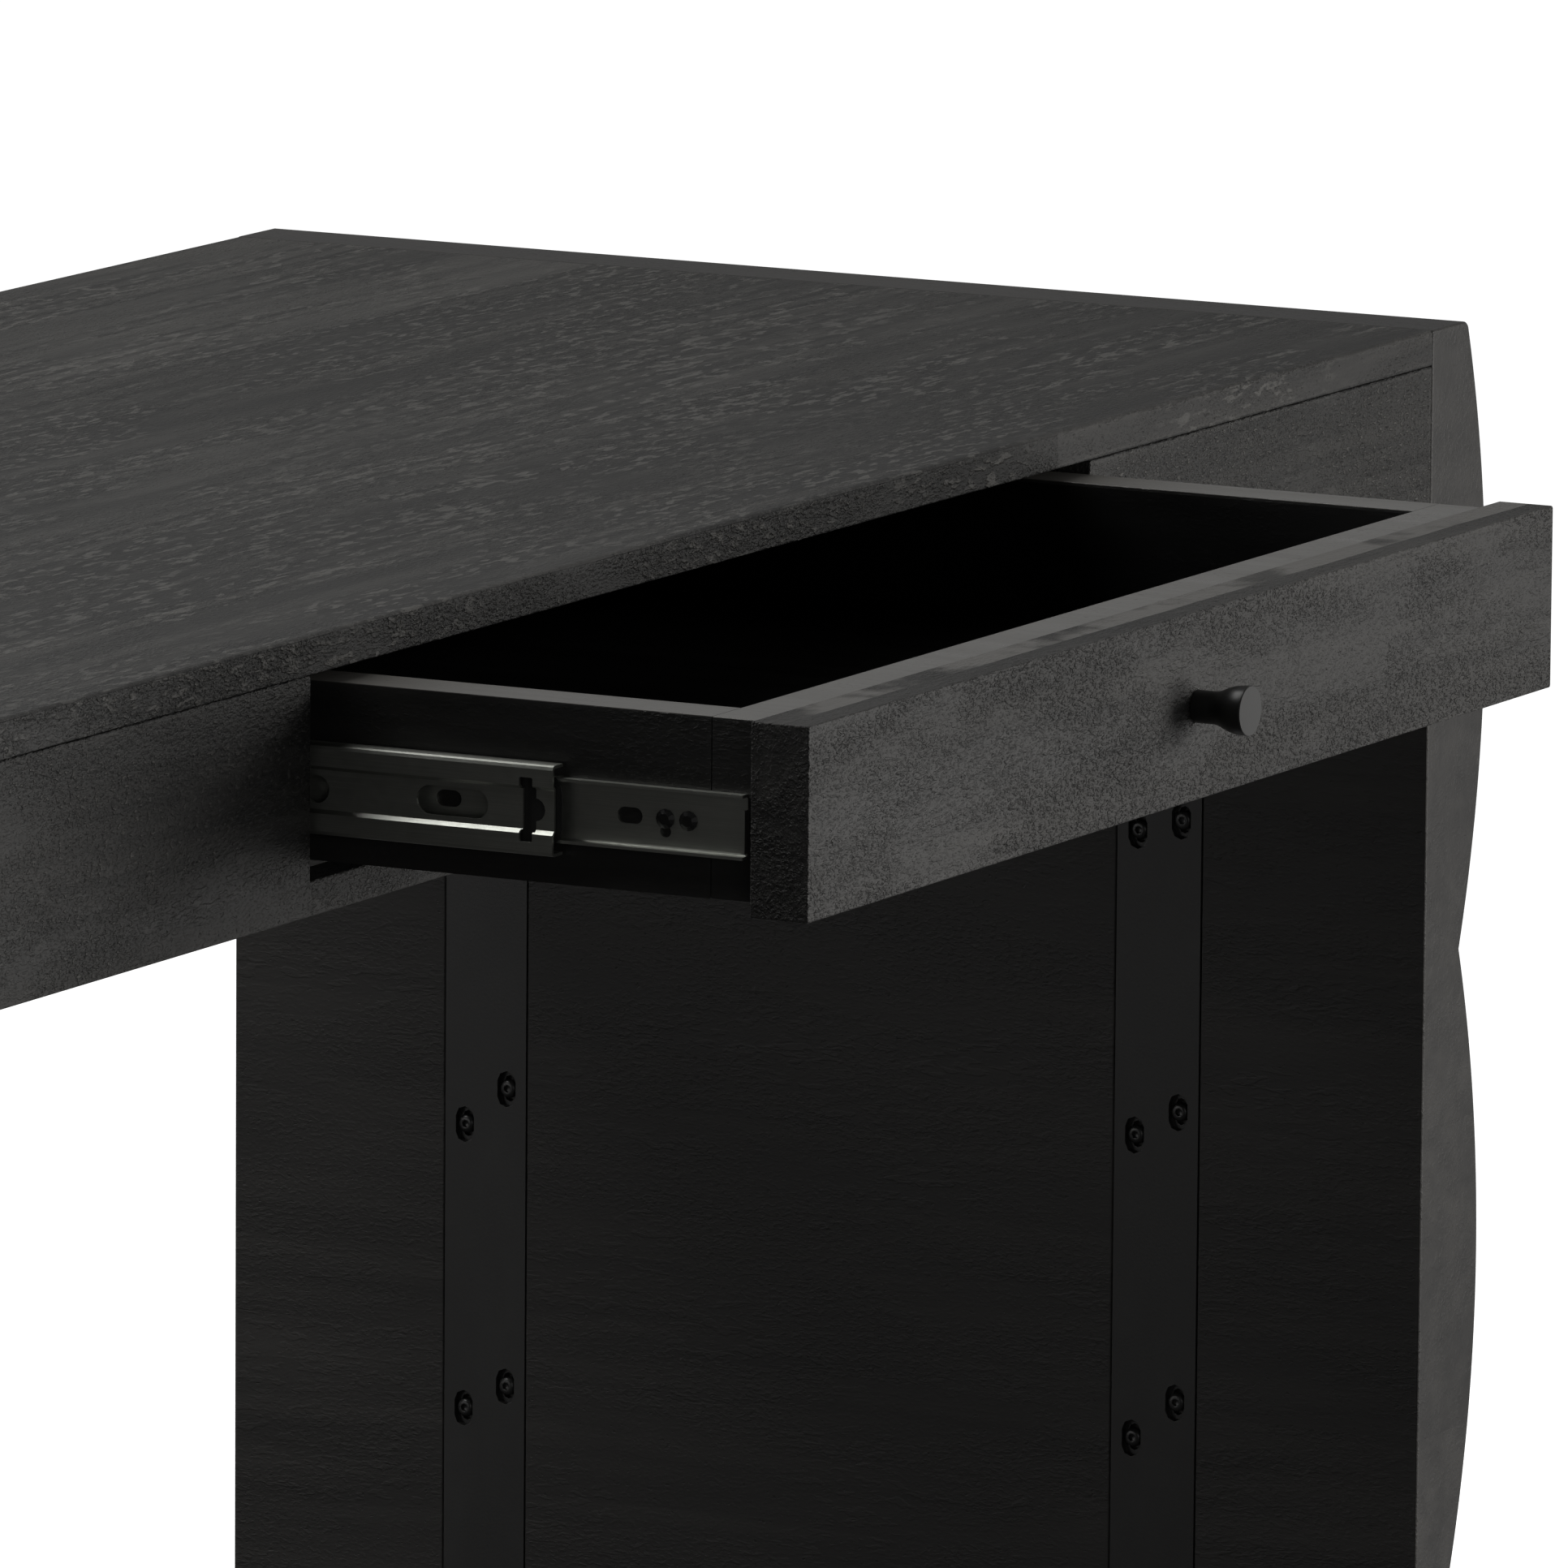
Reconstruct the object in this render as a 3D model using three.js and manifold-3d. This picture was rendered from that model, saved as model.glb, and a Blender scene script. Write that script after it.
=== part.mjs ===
// A console table in black-stained, open-grain wood, with one drawer on ball-bearing slides.
//
// Millimetres, +Z up, the drawer at the front, towards -Y. The floor is Z = 0. The drawer
// stands pulled out, and the origin lies under the middle of the box that holds the table
// and the open drawer. Inside the file everything is laid out from the front edge of the
// tabletop, and the last group moves it all to the origin.
import * as THREE from 'three';
import { mergeVertices } from 'three/addons/utils/BufferGeometryUtils.js';
import Module from 'manifold-3d';

// ---------------------------------------------------------------- driving dimensions

// The whole table.
const tableDepth = 600;
const lobePitch = 279; // height of one convex lobe of an end panel
const lobeCount = 3;
const valleyThickness = 35.5; // end panel at its valleys, its top and its foot
const lobeRise = 22.5; // how far a lobe swells out past its valleys
const topThickness = 15.5;
const stileWidth = 330; // front apron on each side of the drawer
const openingWidth = 663;
const openingHeight = 80.5;
const railHeight = 14; // front apron under the drawer
const apronThickness = 17.5;
const softEdge = 2.5; // rounding of the outer wooden edges
const fineEdge = 0.8; // rounding of the edges that meet another piece

// Fits.
const jointGap = 0.3; // between pieces that are glued, screwed or resting on each other
const drillGap = 0.3; // round a screw's shank in its hole

// Floor glides.
const glideRadius = 13;
const glideHeight = 3;
const glideInset = 60; // from the front and back edges to a glide
const glidePinRadius = 2.5;
const glidePinLength = 16;

// Flat steel bars let into the inner faces of the end panels.
const barWidth = 41.5;
const barLength = 740;
const barThickness = 6;
const barInset = 130.5; // from the front or back edge to the middle of a bar
const barMiddleDrop = 443; // from the top of the table to the middle of a bar
const slotColumnOffset = 10.7; // from the middle of a bar to a column of slots
const slotFirstDrop = 23; // from the end of a bar to its first slots
const slotPitches = [131, 137]; // the two columns of slots are pitched differently
const slotCount = 6; // in each column
const slotWidth = 9.2;
const slotLength = 16.6;
const slotSinkDepth = 3.4;
const slotThroughWidth = 5;
const slotThroughLength = 12;

// Loose tongues between the tabletop and the end panels.
const tongueThickness = 5;
const tongueDepth = 9; // into each piece
const tongueEndInset = 45;

// Glued corner blocks.
const blockSize = 42;
const blockHeight = 72;

// Drawer.
const drawerPull = 215.5; // how far the drawer stands open
const frontSideGap = 2;
const frontTopGap = 2.5;
const frontBottomGap = 2;
const frontThickness = 25;
const boxFrontThickness = 22;
const boxSideThickness = 23.5;
const boxBackThickness = 18;
const boxLength = 500;
const boxTopDrop = 1.5; // box below the upper edge of the drawer front
const boxBottomRise = 4; // box above the lower edge of the drawer front
const trayThickness = 6;
const trayRise = 7; // drawer bottom above the lower edge of the box
const trayGroove = 7;

// Knob and its screw.
const knobLength = 24;
const knobHeadRadius = 10.2;
const knobNeckRadius = 6.6;
const knobNeckLength = 7.5;
const knobHeadLength = 1.6;
const knobRim = 0.7; // rounding of the head's face
const knobFlare = 0.2; // of the head towards its rim
const knobSwellPull = 5.5; // how long the neck stays straight before it swells
const knobFootEase = 0.4;
const knobScrewRadius = 2;
const knobScrewGrip = 12; // thread inside the knob
const knobScrewHeadRadius = 4.5;
const knobScrewHeadHeight = 2.4;
const knobScrewPoint = 1;

// Ball-bearing slides, measured from the side of the opening towards the drawer.
const slideThickness = 12.7;
const slideLength = 500;
const middleLength = 490;
const slideHeight = 45;
const middleHeight = 35.4;
const innerHeight = 25.2;
const slideSteel = 1.2;
const slideSetback = 6; // front ends of the members behind the front of the box
const slideDrop = 45; // from the underside of the tabletop to the middle of a slide
const middleShare = 0.628; // travel of the middle member for each unit of the drawer's
const middleFace = 3; // outer face of the middle member from the side of the opening
const webRecess = 1.5; // how far the middle of that face is pressed in
const cabinetFlangeEnd = 9.6; // where the flanges end, from the side of the opening
const middleFlangeEnd = 11.4;
const innerFlangeEnd = 7.2;
const outerBallLine = 6.4; // middle of the balls, from the side of the opening
const innerBallLine = 9.2;
const outerCageWeb = 2.1;
const innerCageWeb = 6.4;
const runnerThickness = 24;
const runnerDrop = 1; // runner below the underside of the tabletop
const ballPlay = 0.3; // between a ball and its tracks
const cageSteel = 0.6;
const outerCageLength = 150;
const innerCageLength = 240;
const outerCageStart = 165; // closed, behind the front ends of the members
const innerCageStart = 120;
const ballsPerRow = 5;
const cageWindowEnd = 12; // from the end of a cage to its window
const cageWindowRim = 4; // of the cage's web left above and below the window
const cageLip = 0.8; // of the cage past the middle of its balls
const cageBallEnd = 8; // from the end of a cage to its first ball
const bumperLength = 25.5;
const bumperHeight = 27;
const bumperThickness = 0.9;
const bumperNose = 2.5; // how far it stands out of the middle member's front end
const bumperRounding = 7;
const sheetBend = 1.2; // of the members' sheet steel, to its centre line
const recessRise = 9.5; // from the slide's level to where the pressed part of the web begins
const recessFloor = 8;
const frontLipReach = 2.6; // of the tab bent out at the front of the drawer member
const frontLipHeight = 17;
const frontLipDrop = 2;

// Slide screws.
const screwRadius = 1.7;
const screwHeadRadius = 3.9;
const screwHeadHeight = 1.5;
const sunkHeadRadius = 3.5; // the cabinet member's screws have flat heads
const sunkHeadHeight = 2.2;
const screwLength = 14;
const screwPoint = 3; // length of the point
const screwCrown = 0.55; // share of the head that is domed
const screwHeadLift = 0.1; // of the head off the sheet
const sunkHeadRim = 0.3;
const innerScrewPlaces = [25.5, 35.5, 420]; // behind the front end of the drawer member
const cabinetScrewPlaces = [35, 230, 460];

// Slots along the members, each behind the member's front end.
const cabinetSlots = [95, 160, 300, 390];
const cabinetSlotSize = [14, 9];
const middleSlots = [44.5, 230, 380];
const middleSlotSize = [31.5, 11.5];
const middleHolePlace = 104.2;
const middleHoleWidth = 11;
const innerSlots = [51, 130, 300];
const innerSlotSize = [11, 6.5];
const keyholePlace = 35.5; // under the second screw of the drawer member
const keyholeDrop = 4.9;
const keyholeWidth = 4.8;

// The cut-out near the front of the middle member: a strap between two pads, with a round
// bulge towards the front.
const latchPlace = 11.7;
const latchWidth = 5.8;
const latchHeight = 25;
const latchPadHeight = 4.6;
const latchStrapShift = 1;
const latchBulgePlace = 8.5;
const latchBulgeWidth = 9.2;
const latchCorner = 0.8;

// Facets.
const lobeSegments = 16;
const roundSegments = 16; // round a turned piece
const arcSegments = 3; // on each rounded corner of an outline
const slotSegments = 2; // on each quarter of a bar slot's round ends
const holeSegments = 4; // on each quarter of a hole in the slides
const ballSegments = 6;
const knobSegments = 24;
const knobSwellSegments = 9;
const screwSegments = 12;
const mergeReach = 0.001; // corners nearer than this are one corner
const toolOverrun = 1; // how far a cutting tool runs out past a surface

// ---------------------------------------------------------------- derived sizes

const panelHeight = lobePitch * lobeCount;
const tableTop = glideHeight + panelHeight;
const topUnderside = tableTop - topThickness;
const apronHeight = openingHeight + railHeight;
const innerLength = openingWidth + 2 * stileWidth;
const railTop = topUnderside - openingHeight;
const apronBottom = topUnderside - apronHeight;
const frontWidth = openingWidth - 2 * frontSideGap;
const frontTop = topUnderside - frontTopGap;
const frontHeight = openingHeight - frontTopGap - frontBottomGap;
const boxWidth = openingWidth - 2 * slideThickness;
const boxTop = frontTop - boxTopDrop;
const boxHeight = frontHeight - boxTopDrop - boxBottomRise;
const boxBottom = boxTop - boxHeight;
const slideLevel = topUnderside - slideDrop;
const slideFront = frontThickness + slideSetback;
const middleTravel = middleShare * drawerPull;
const knobLevel = frontTop - frontHeight / 2;

// ---------------------------------------------------------------- materials

const paint = (name, color, roughness, metalness) => (
  new THREE.MeshStandardMaterial({ name, color, roughness, metalness })
);
const boardWood = paint('board_wood', 0x2b2826, 0.62, 0);
const panelWood = paint('panel_wood', 0x1f1d1c, 0.5, 0);
const apronWood = paint('apron_wood', 0x2c2a29, 0.6, 0);
const drawerWood = paint('drawer_front_wood', 0x383634, 0.6, 0);
const boxWood = paint('drawer_box_wood', 0x1a1918, 0.55, 0);
const plainWood = paint('plain_wood', 0x24211e, 0.75, 0);
const barSteel = paint('bar_steel', 0x171717, 0.42, 0.6);
const slideZinc = paint('slide_zinc', 0xb9bbbd, 0.3, 1);
const knobSteel = paint('knob_steel', 0x1b1b1c, 0.38, 0.5);
const screwSteel = paint('screw_steel', 0x151515, 0.4, 0.8);
const dullPlastic = paint('dull_plastic', 0x222222, 0.6, 0);

// ---------------------------------------------------------------- solids

const wasm = await Module();
wasm.setup();

function toSolid(geometry) {
  const bare = geometry.clone();
  bare.deleteAttribute('normal');
  bare.deleteAttribute('uv');
  const merged = mergeVertices(bare, mergeReach);
  const corners = merged.index.array;
  const triVerts = [];
  for (let i = 0; i < corners.length; i += 3) {
    const [a, b, c] = corners.slice(i, i + 3);
    if (a !== b && b !== c && c !== a) {
      triVerts.push(a, b, c);
    }
  }
  return new wasm.Manifold(new wasm.Mesh({
    numProp: 3,
    vertProperties: Float32Array.from(merged.attributes.position.array),
    triVerts: Uint32Array.from(triVerts),
  }));
}

function toGeometry(solid) {
  const mesh = solid.getMesh();
  const geometry = new THREE.BufferGeometry();
  geometry.setAttribute('position', new THREE.BufferAttribute(mesh.vertProperties, 3));
  geometry.setIndex(new THREE.BufferAttribute(mesh.triVerts, 1));
  geometry.computeVertexNormals();
  return geometry;
}

// Cuts every tool out of a body.
function cut(body, tools) {
  const rest = tools.reduce((solid, tool) => solid.subtract(toSolid(tool)), toSolid(body));
  return toGeometry(rest);
}

function join(body, others) {
  const whole = others.reduce((solid, other) => solid.add(toSolid(other)), toSolid(body));
  return toGeometry(whole);
}

// The mirror image in the plane X = 0, with its faces still turned outwards.
function mirrored(geometry) {
  const copy = geometry.index ? geometry.toNonIndexed() : geometry.clone();
  const points = copy.attributes.position;
  const turned = [];
  for (let i = 0; i < points.count; i += 3) {
    for (const corner of [i, i + 2, i + 1]) {
      turned.push(-points.getX(corner), points.getY(corner), points.getZ(corner));
    }
  }
  const image = new THREE.BufferGeometry();
  image.setAttribute('position', new THREE.Float32BufferAttribute(turned, 3));
  image.computeVertexNormals();
  return image;
}

function box(x0, x1, y0, y1, z0, z1) {
  const geometry = new THREE.BoxGeometry(x1 - x0, y1 - y0, z1 - z0);
  geometry.translate((x0 + x1) / 2, (y0 + y1) / 2, (z0 + z1) / 2);
  return geometry;
}

// Extrusion of a flat outline, with its two end faces eased by a rounding.
function extrusion(shape, length, ease) {
  return new THREE.ExtrudeGeometry(shape, {
    depth: length - 2 * ease,
    bevelEnabled: ease > 0,
    bevelThickness: ease,
    bevelSize: ease,
    bevelOffset: -ease,
    bevelSegments: 3,
    curveSegments: arcSegments,
  }).translate(0, 0, ease);
}

// An outline drawn in X and Z, run from y0 to y1.
function alongY(shape, y0, y1, ease = 0) {
  return extrusion(shape, y1 - y0, ease).rotateX(Math.PI / 2).translate(0, y1, 0);
}

// An outline drawn in Y and Z, run from x0 to x1.
const fromYZ = new THREE.Matrix4().makeBasis(
  new THREE.Vector3(0, 1, 0),
  new THREE.Vector3(0, 0, 1),
  new THREE.Vector3(1, 0, 0),
);

function alongX(shape, x0, x1, ease = 0) {
  return extrusion(shape, x1 - x0, ease).applyMatrix4(fromYZ).translate(x0, 0, 0);
}

// A closed outline through corners, each [across, up, radius], with its corners rounded.
function roundedOutline(corners) {
  const shape = new THREE.Shape();
  corners.forEach(([x, y, radius = 0], i) => {
    const here = new THREE.Vector2(x, y);
    const [bx, by] = corners[(i + corners.length - 1) % corners.length];
    const [ax, ay] = corners[(i + 1) % corners.length];
    const before = new THREE.Vector2(bx, by).sub(here).setLength(radius).add(here);
    const after = new THREE.Vector2(ax, ay).sub(here).setLength(radius).add(here);
    if (i === 0) {
      shape.moveTo(before.x, before.y);
    } else {
      shape.lineTo(before.x, before.y);
    }
    if (radius > 0) {
      shape.quadraticCurveTo(x, y, after.x, after.y);
    }
  });
  shape.closePath();
  return shape;
}

function rectangle(x0, x1, y0, y1, radius = 0) {
  return roundedOutline([[x0, y0, radius], [x1, y0, radius], [x1, y1, radius], [x0, y1, radius]]);
}

// An upright or lying slot with round ends.
function slotOutline(x, y, width, height, segments) {
  const radius = Math.min(width, height) / 2;
  const dx = width / 2 - radius;
  const dy = height / 2 - radius;
  const points = [];
  for (const [ox, oy, start] of [[dx, -dy, -0.5], [dx, dy, 0], [-dx, dy, 0.5], [-dx, -dy, 1]]) {
    for (let k = 0; k <= segments; k += 1) {
      const angle = (start + (0.5 * k) / segments) * Math.PI;
      points.push(new THREE.Vector2(
        x + ox + radius * Math.cos(angle),
        y + oy + radius * Math.sin(angle),
      ));
    }
  }
  return new THREE.Shape(points.filter((point, i) => point.distanceTo(points.at(i - 1)) > mergeReach));
}

// A sheet-metal section of even thickness along an open centre line.
function stripOutline(line, thickness) {
  const points = line.map(([x, y]) => new THREE.Vector2(x, y));
  const side = (i) => {
    const next = Math.min(i, points.length - 2);
    const last = Math.max(i - 1, 0);
    const ahead = points[next + 1].clone().sub(points[next]);
    const behind = points[last + 1].clone().sub(points[last]);
    const a = new THREE.Vector2(-ahead.y, ahead.x).normalize();
    const b = new THREE.Vector2(-behind.y, behind.x).normalize();
    const normal = a.clone().add(b).normalize();
    return normal.multiplyScalar(thickness / 2 / normal.dot(a));
  };
  const left = points.map((point, i) => point.clone().add(side(i)));
  const right = points.map((point, i) => point.clone().sub(side(i)));
  return new THREE.Shape([...right, ...left.reverse()]);
}

function lathe(profile, segments = roundSegments) {
  return new THREE.LatheGeometry(profile.map(([r, h]) => new THREE.Vector2(r, h)), segments);
}

// A solid of revolution pointing along +Y, along +X or along +Z.
const turnedAlongY = (profile, segments) => lathe(profile, segments);
const turnedAlongX = (profile, segments) => lathe(profile, segments).rotateZ(-Math.PI / 2);
const turnedAlongZ = (profile, segments) => lathe(profile, segments).rotateX(Math.PI / 2);

function piece(name, geometry, material) {
  const mesh = new THREE.Mesh(geometry, material);
  mesh.name = name;
  return mesh;
}

const sides = [
  { name: 'left', sign: -1 },
  { name: 'right', sign: 1 },
];

// Puts a geometry made for the right-hand side on either side.
function onSide(side, geometry) {
  return side.sign > 0 ? geometry : mirrored(geometry);
}

// ---------------------------------------------------------------- end panels

const barPlaces = [
  { name: 'front', y: barInset, sign: 1 },
  { name: 'back', y: tableDepth - barInset, sign: -1 },
];
const glidePlaces = [
  { name: 'front', y: glideInset },
  { name: 'back', y: tableDepth - glideInset },
];

// Outer face in equal convex arcs that meet in crisp valleys; the inner face is flat.
function panelOutline() {
  const half = lobePitch / 2;
  const radius = (half * half + lobeRise * lobeRise) / (2 * lobeRise);
  const reach = Math.asin(half / radius);
  const centre = valleyThickness + lobeRise - radius;
  const shape = new THREE.Shape();
  const point = (i, angle) => [
    centre + radius * Math.cos(angle),
    (i + 0.5) * lobePitch + radius * Math.sin(angle),
  ];
  shape.moveTo(0, 0);
  for (let i = 0; i < lobeCount; i += 1) {
    for (let k = 0; k < lobeSegments; k += 1) {
      shape.lineTo(...point(i, reach * (2 * k / lobeSegments - 1)));
    }
  }
  const topCorner = panelHeight;
  const outer = valleyThickness + softEdge * Math.tan(reach);
  shape.lineTo(outer, topCorner - softEdge);
  shape.quadraticCurveTo(valleyThickness, topCorner, valleyThickness - softEdge, topCorner);
  shape.lineTo(0, topCorner);
  shape.closePath();
  return shape;
}

function tongueBox(x0, x1, play) {
  const middle = topUnderside + topThickness / 2;
  const half = tongueThickness / 2 + play;
  const start = tongueEndInset - play;
  return box(x0, x1, start, tableDepth - start, middle - half, middle + half);
}

function endPanel() {
  const inner = innerLength / 2 + jointGap;
  const body = alongY(panelOutline(), 0, tableDepth, softEdge).translate(inner, 0, glideHeight);
  const grooves = barPlaces.map(({ y }) => {
    const half = barWidth / 2 + jointGap;
    const middle = tableTop - barMiddleDrop;
    const reach = barLength / 2 + jointGap;
    const floor = inner + barThickness + jointGap;
    return box(inner - toolOverrun, floor, y - half, y + half, middle - reach, middle + reach);
  });
  const bores = glidePlaces.map(({ y }) => {
    const radius = glidePinRadius + drillGap;
    const reach = glidePinLength + drillGap;
    const bore = turnedAlongZ([[0, -toolOverrun], [radius, -toolOverrun], [radius, reach], [0, reach]]);
    return bore.translate(inner + valleyThickness / 2, y, glideHeight);
  });
  const slot = tongueBox(inner - toolOverrun, inner + tongueDepth + jointGap, jointGap);
  return cut(body, [...grooves, ...bores, slot]);
}

function glide() {
  const shape = turnedAlongZ([
    [0, 0], [glideRadius - fineEdge, 0], [glideRadius, fineEdge], [glideRadius, glideHeight - jointGap],
    [glidePinRadius, glideHeight - jointGap], [glidePinRadius, glideHeight + glidePinLength],
    [0, glideHeight + glidePinLength],
  ]);
  return shape.translate(innerLength / 2 + jointGap + valleyThickness / 2, 0, 0);
}

// Slots in two columns, sunk for the screw heads and cut through for the shanks.
function slotPlaces(sign) {
  return slotPitches.flatMap((pitch, column) => Array.from({ length: slotCount }, (_, row) => ({
    y: sign * (column === 0 ? -slotColumnOffset : slotColumnOffset),
    z: sign * (barLength / 2 - slotFirstDrop - row * pitch),
  })));
}

function bar(place) {
  const inner = innerLength / 2 + jointGap;
  const middle = tableTop - barMiddleDrop;
  const outline = rectangle(
    place.y - barWidth / 2,
    place.y + barWidth / 2,
    middle - barLength / 2,
    middle + barLength / 2,
  );
  const plate = alongX(outline, inner, inner + barThickness);
  const slots = slotPlaces(place.sign).flatMap(({ y, z }) => [
    alongX(
      slotOutline(place.y + y, middle + z, slotWidth, slotLength, slotSegments),
      inner - toolOverrun,
      inner + slotSinkDepth,
    ),
    alongX(
      slotOutline(place.y + y, middle + z, slotThroughWidth, slotThroughLength, slotSegments),
      inner,
      inner + barThickness + toolOverrun,
    ),
  ]);
  return cut(plate, slots);
}

// ---------------------------------------------------------------- top, aprons and runners

function tabletop() {
  const half = innerLength / 2;
  const outline = roundedOutline([
    [0, topUnderside, fineEdge], [tableDepth, topUnderside, fineEdge],
    [tableDepth, tableTop, softEdge], [0, tableTop, softEdge],
  ]);
  const body = alongX(outline, -half, half);
  const slots = sides.map((side) => (
    onSide(side, tongueBox(half - tongueDepth - jointGap, half + toolOverrun, jointGap))
  ));
  return cut(body, slots);
}

function tongue() {
  const half = innerLength / 2;
  return tongueBox(half - tongueDepth, half + jointGap + tongueDepth, 0);
}

// One board with the drawer's opening let into its upper edge.
function frontApron() {
  const half = innerLength / 2 - jointGap;
  const opening = openingWidth / 2;
  const top = topUnderside - jointGap;
  const shape = roundedOutline([
    [-half, apronBottom], [half, apronBottom], [half, top], [opening, top],
    [opening, railTop], [-opening, railTop], [-opening, top], [-half, top],
  ]);
  return alongY(shape, 0, apronThickness, fineEdge);
}

function backApron() {
  const half = innerLength / 2 - jointGap;
  const shape = rectangle(-half, half, apronBottom, topUnderside - jointGap);
  return alongY(shape, tableDepth - apronThickness, tableDepth, fineEdge);
}

// A board between the aprons that carries one slide, level with the side of the opening.
function runner() {
  const inner = openingWidth / 2;
  const shape = rectangle(inner, inner + runnerThickness, railTop, topUnderside - runnerDrop);
  const board = alongY(shape, apronThickness + jointGap, tableDepth - apronThickness - jointGap);
  const holes = cabinetScrewPlaces.map((place) => screwHole(inner, slideFront + place, 1, true));
  return cut(board, holes);
}

// A wooden block glued into the corner between an apron and an end panel.
function cornerBlock(atFront) {
  const x1 = innerLength / 2 - jointGap;
  const near = apronThickness + jointGap;
  const y0 = atFront ? near : tableDepth - near;
  const y1 = atFront ? near + blockSize : tableDepth - near - blockSize;
  const z1 = topUnderside - jointGap;
  const shape = new THREE.Shape();
  const points = [[x1, y0], [x1, y1], [x1 - blockSize, y0]];
  const ordered = atFront ? points : points.reverse();
  shape.setFromPoints(ordered.map(([x, y]) => new THREE.Vector2(x, y)));
  return extrusion(shape, blockHeight, 0).translate(0, 0, z1 - blockHeight);
}

// ---------------------------------------------------------------- slides

// Everything here is made for the right-hand slide: "out" runs from the drawer to the side.
const slideSide = openingWidth / 2;
const fromSide = (w) => slideSide - w;

// A pilot hole that starts on a face and runs along X, sunk for a flat head if need be.
function screwHole(faceX, y, direction, sunk = false) {
  const radius = screwRadius + drillGap;
  const reach = screwLength + drillGap;
  const mouth = sunk ? sunkHeadRadius + drillGap : radius;
  const sink = sunk ? sunkHeadHeight - slideSteel + drillGap : 0;
  const bore = turnedAlongX([
    [0, -toolOverrun], [mouth, -toolOverrun], [mouth, 0], [radius, sink], [radius, reach], [0, reach],
  ], screwSegments);
  if (direction < 0) {
    bore.rotateZ(Math.PI);
  }
  return bore.translate(faceX, y, slideLevel);
}

// A pan-head screw whose head sits on the drawer member and whose shank enters the box side.
function panScrew(faceX, y) {
  const crown = screwHeadHeight * screwCrown;
  const screw = turnedAlongX([
    [0, -screwHeadHeight], [screwHeadRadius * screwCrown, -screwHeadHeight],
    [screwHeadRadius, -screwHeadHeight + crown], [screwHeadRadius, -screwHeadLift],
    [screwRadius, -screwHeadLift], [screwRadius, screwLength - screwPoint], [0, screwLength],
  ], screwSegments);
  return screw.rotateZ(Math.PI).translate(faceX, y, slideLevel);
}

// A flat-head screw, level with the web of the cabinet member.
function sunkScrew(faceX, y) {
  const screw = turnedAlongX([
    [0, 0], [sunkHeadRadius, 0], [sunkHeadRadius, sunkHeadRim], [screwRadius, sunkHeadHeight],
    [screwRadius, screwLength - screwPoint], [0, screwLength],
  ], screwSegments);
  return screw.translate(faceX, y, slideLevel);
}

// A channel section: a web between two flanges, drawn in X and Z round the slide's level.
function channelOutline(webLine, flangeEnd, height, steel) {
  const v = height / 2 - steel / 2;
  const out = Math.sign(flangeEnd - webLine[0]);
  const knee = sheetBend * (1 - Math.SQRT1_2);
  const half = [
    [flangeEnd, v], [webLine[0] + out * sheetBend, v], [webLine[0] + out * knee, v - knee],
    [webLine[0], v - sheetBend],
  ];
  const recess = webLine.length > 1 ? [[webLine[0], recessRise], [webLine[1], recessFloor]] : [];
  const upper = [...half, ...recess];
  const lower = [...upper].reverse().map(([w, z]) => [w, -z]);
  const line = [...upper, ...lower].map(([w, z]) => [fromSide(w), slideLevel + z]);
  return stripOutline(line, steel);
}

// Runs an outline right through a member's sheet.
function throughSheet(shape) {
  return alongX(shape, fromSide(slideThickness + toolOverrun), fromSide(-toolOverrun));
}

function hole(y, z, width, height) {
  return throughSheet(slotOutline(y, slideLevel + z, width, height, holeSegments));
}

// The cut-out near the front of the middle member, as overlapping tools.
function latchTools(front) {
  const half = latchHeight / 2;
  const back = front + latchPlace + latchWidth / 2;
  const pad = (z0, z1) => throughSheet(
    rectangle(back - latchWidth, back, slideLevel + z0, slideLevel + z1, latchCorner),
  );
  const strapBack = back - latchStrapShift;
  const strapEnd = half - latchPadHeight + latchCorner;
  const strap = throughSheet(
    rectangle(strapBack - latchWidth, strapBack, slideLevel - strapEnd, slideLevel + strapEnd),
  );
  const bulge = hole(front + latchBulgePlace, 0, latchBulgeWidth, latchBulgeWidth);
  return [pad(half - latchPadHeight, half), pad(-half, latchPadHeight - half), strap, bulge];
}

function cabinetMember() {
  const web = slideSteel / 2;
  const shape = channelOutline([web], cabinetFlangeEnd, slideHeight, slideSteel);
  const body = alongY(shape, slideFront, slideFront + slideLength);
  const bore = 2 * (sunkHeadRadius + drillGap);
  const screwHoles = cabinetScrewPlaces.map((place) => hole(slideFront + place, 0, bore, bore));
  const accessHoles = cabinetSlots.map((place) => hole(slideFront + place, 0, ...cabinetSlotSize));
  return cut(body, [...screwHoles, ...accessHoles]);
}

// The middle member, with its web towards the side and its centre pressed in.
function middleMember() {
  const web = middleFace + slideSteel / 2;
  const shape = channelOutline([web, web + webRecess], middleFlangeEnd, middleHeight, slideSteel);
  const front = slideFront - middleTravel;
  const body = alongY(shape, front, front + middleLength);
  const holes = [
    ...middleSlots.map((place) => hole(front + place, 0, ...middleSlotSize)),
    hole(front + middleHolePlace, 0, middleHoleWidth, middleHoleWidth),
    ...latchTools(front),
  ];
  return cut(body, holes);
}

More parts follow.
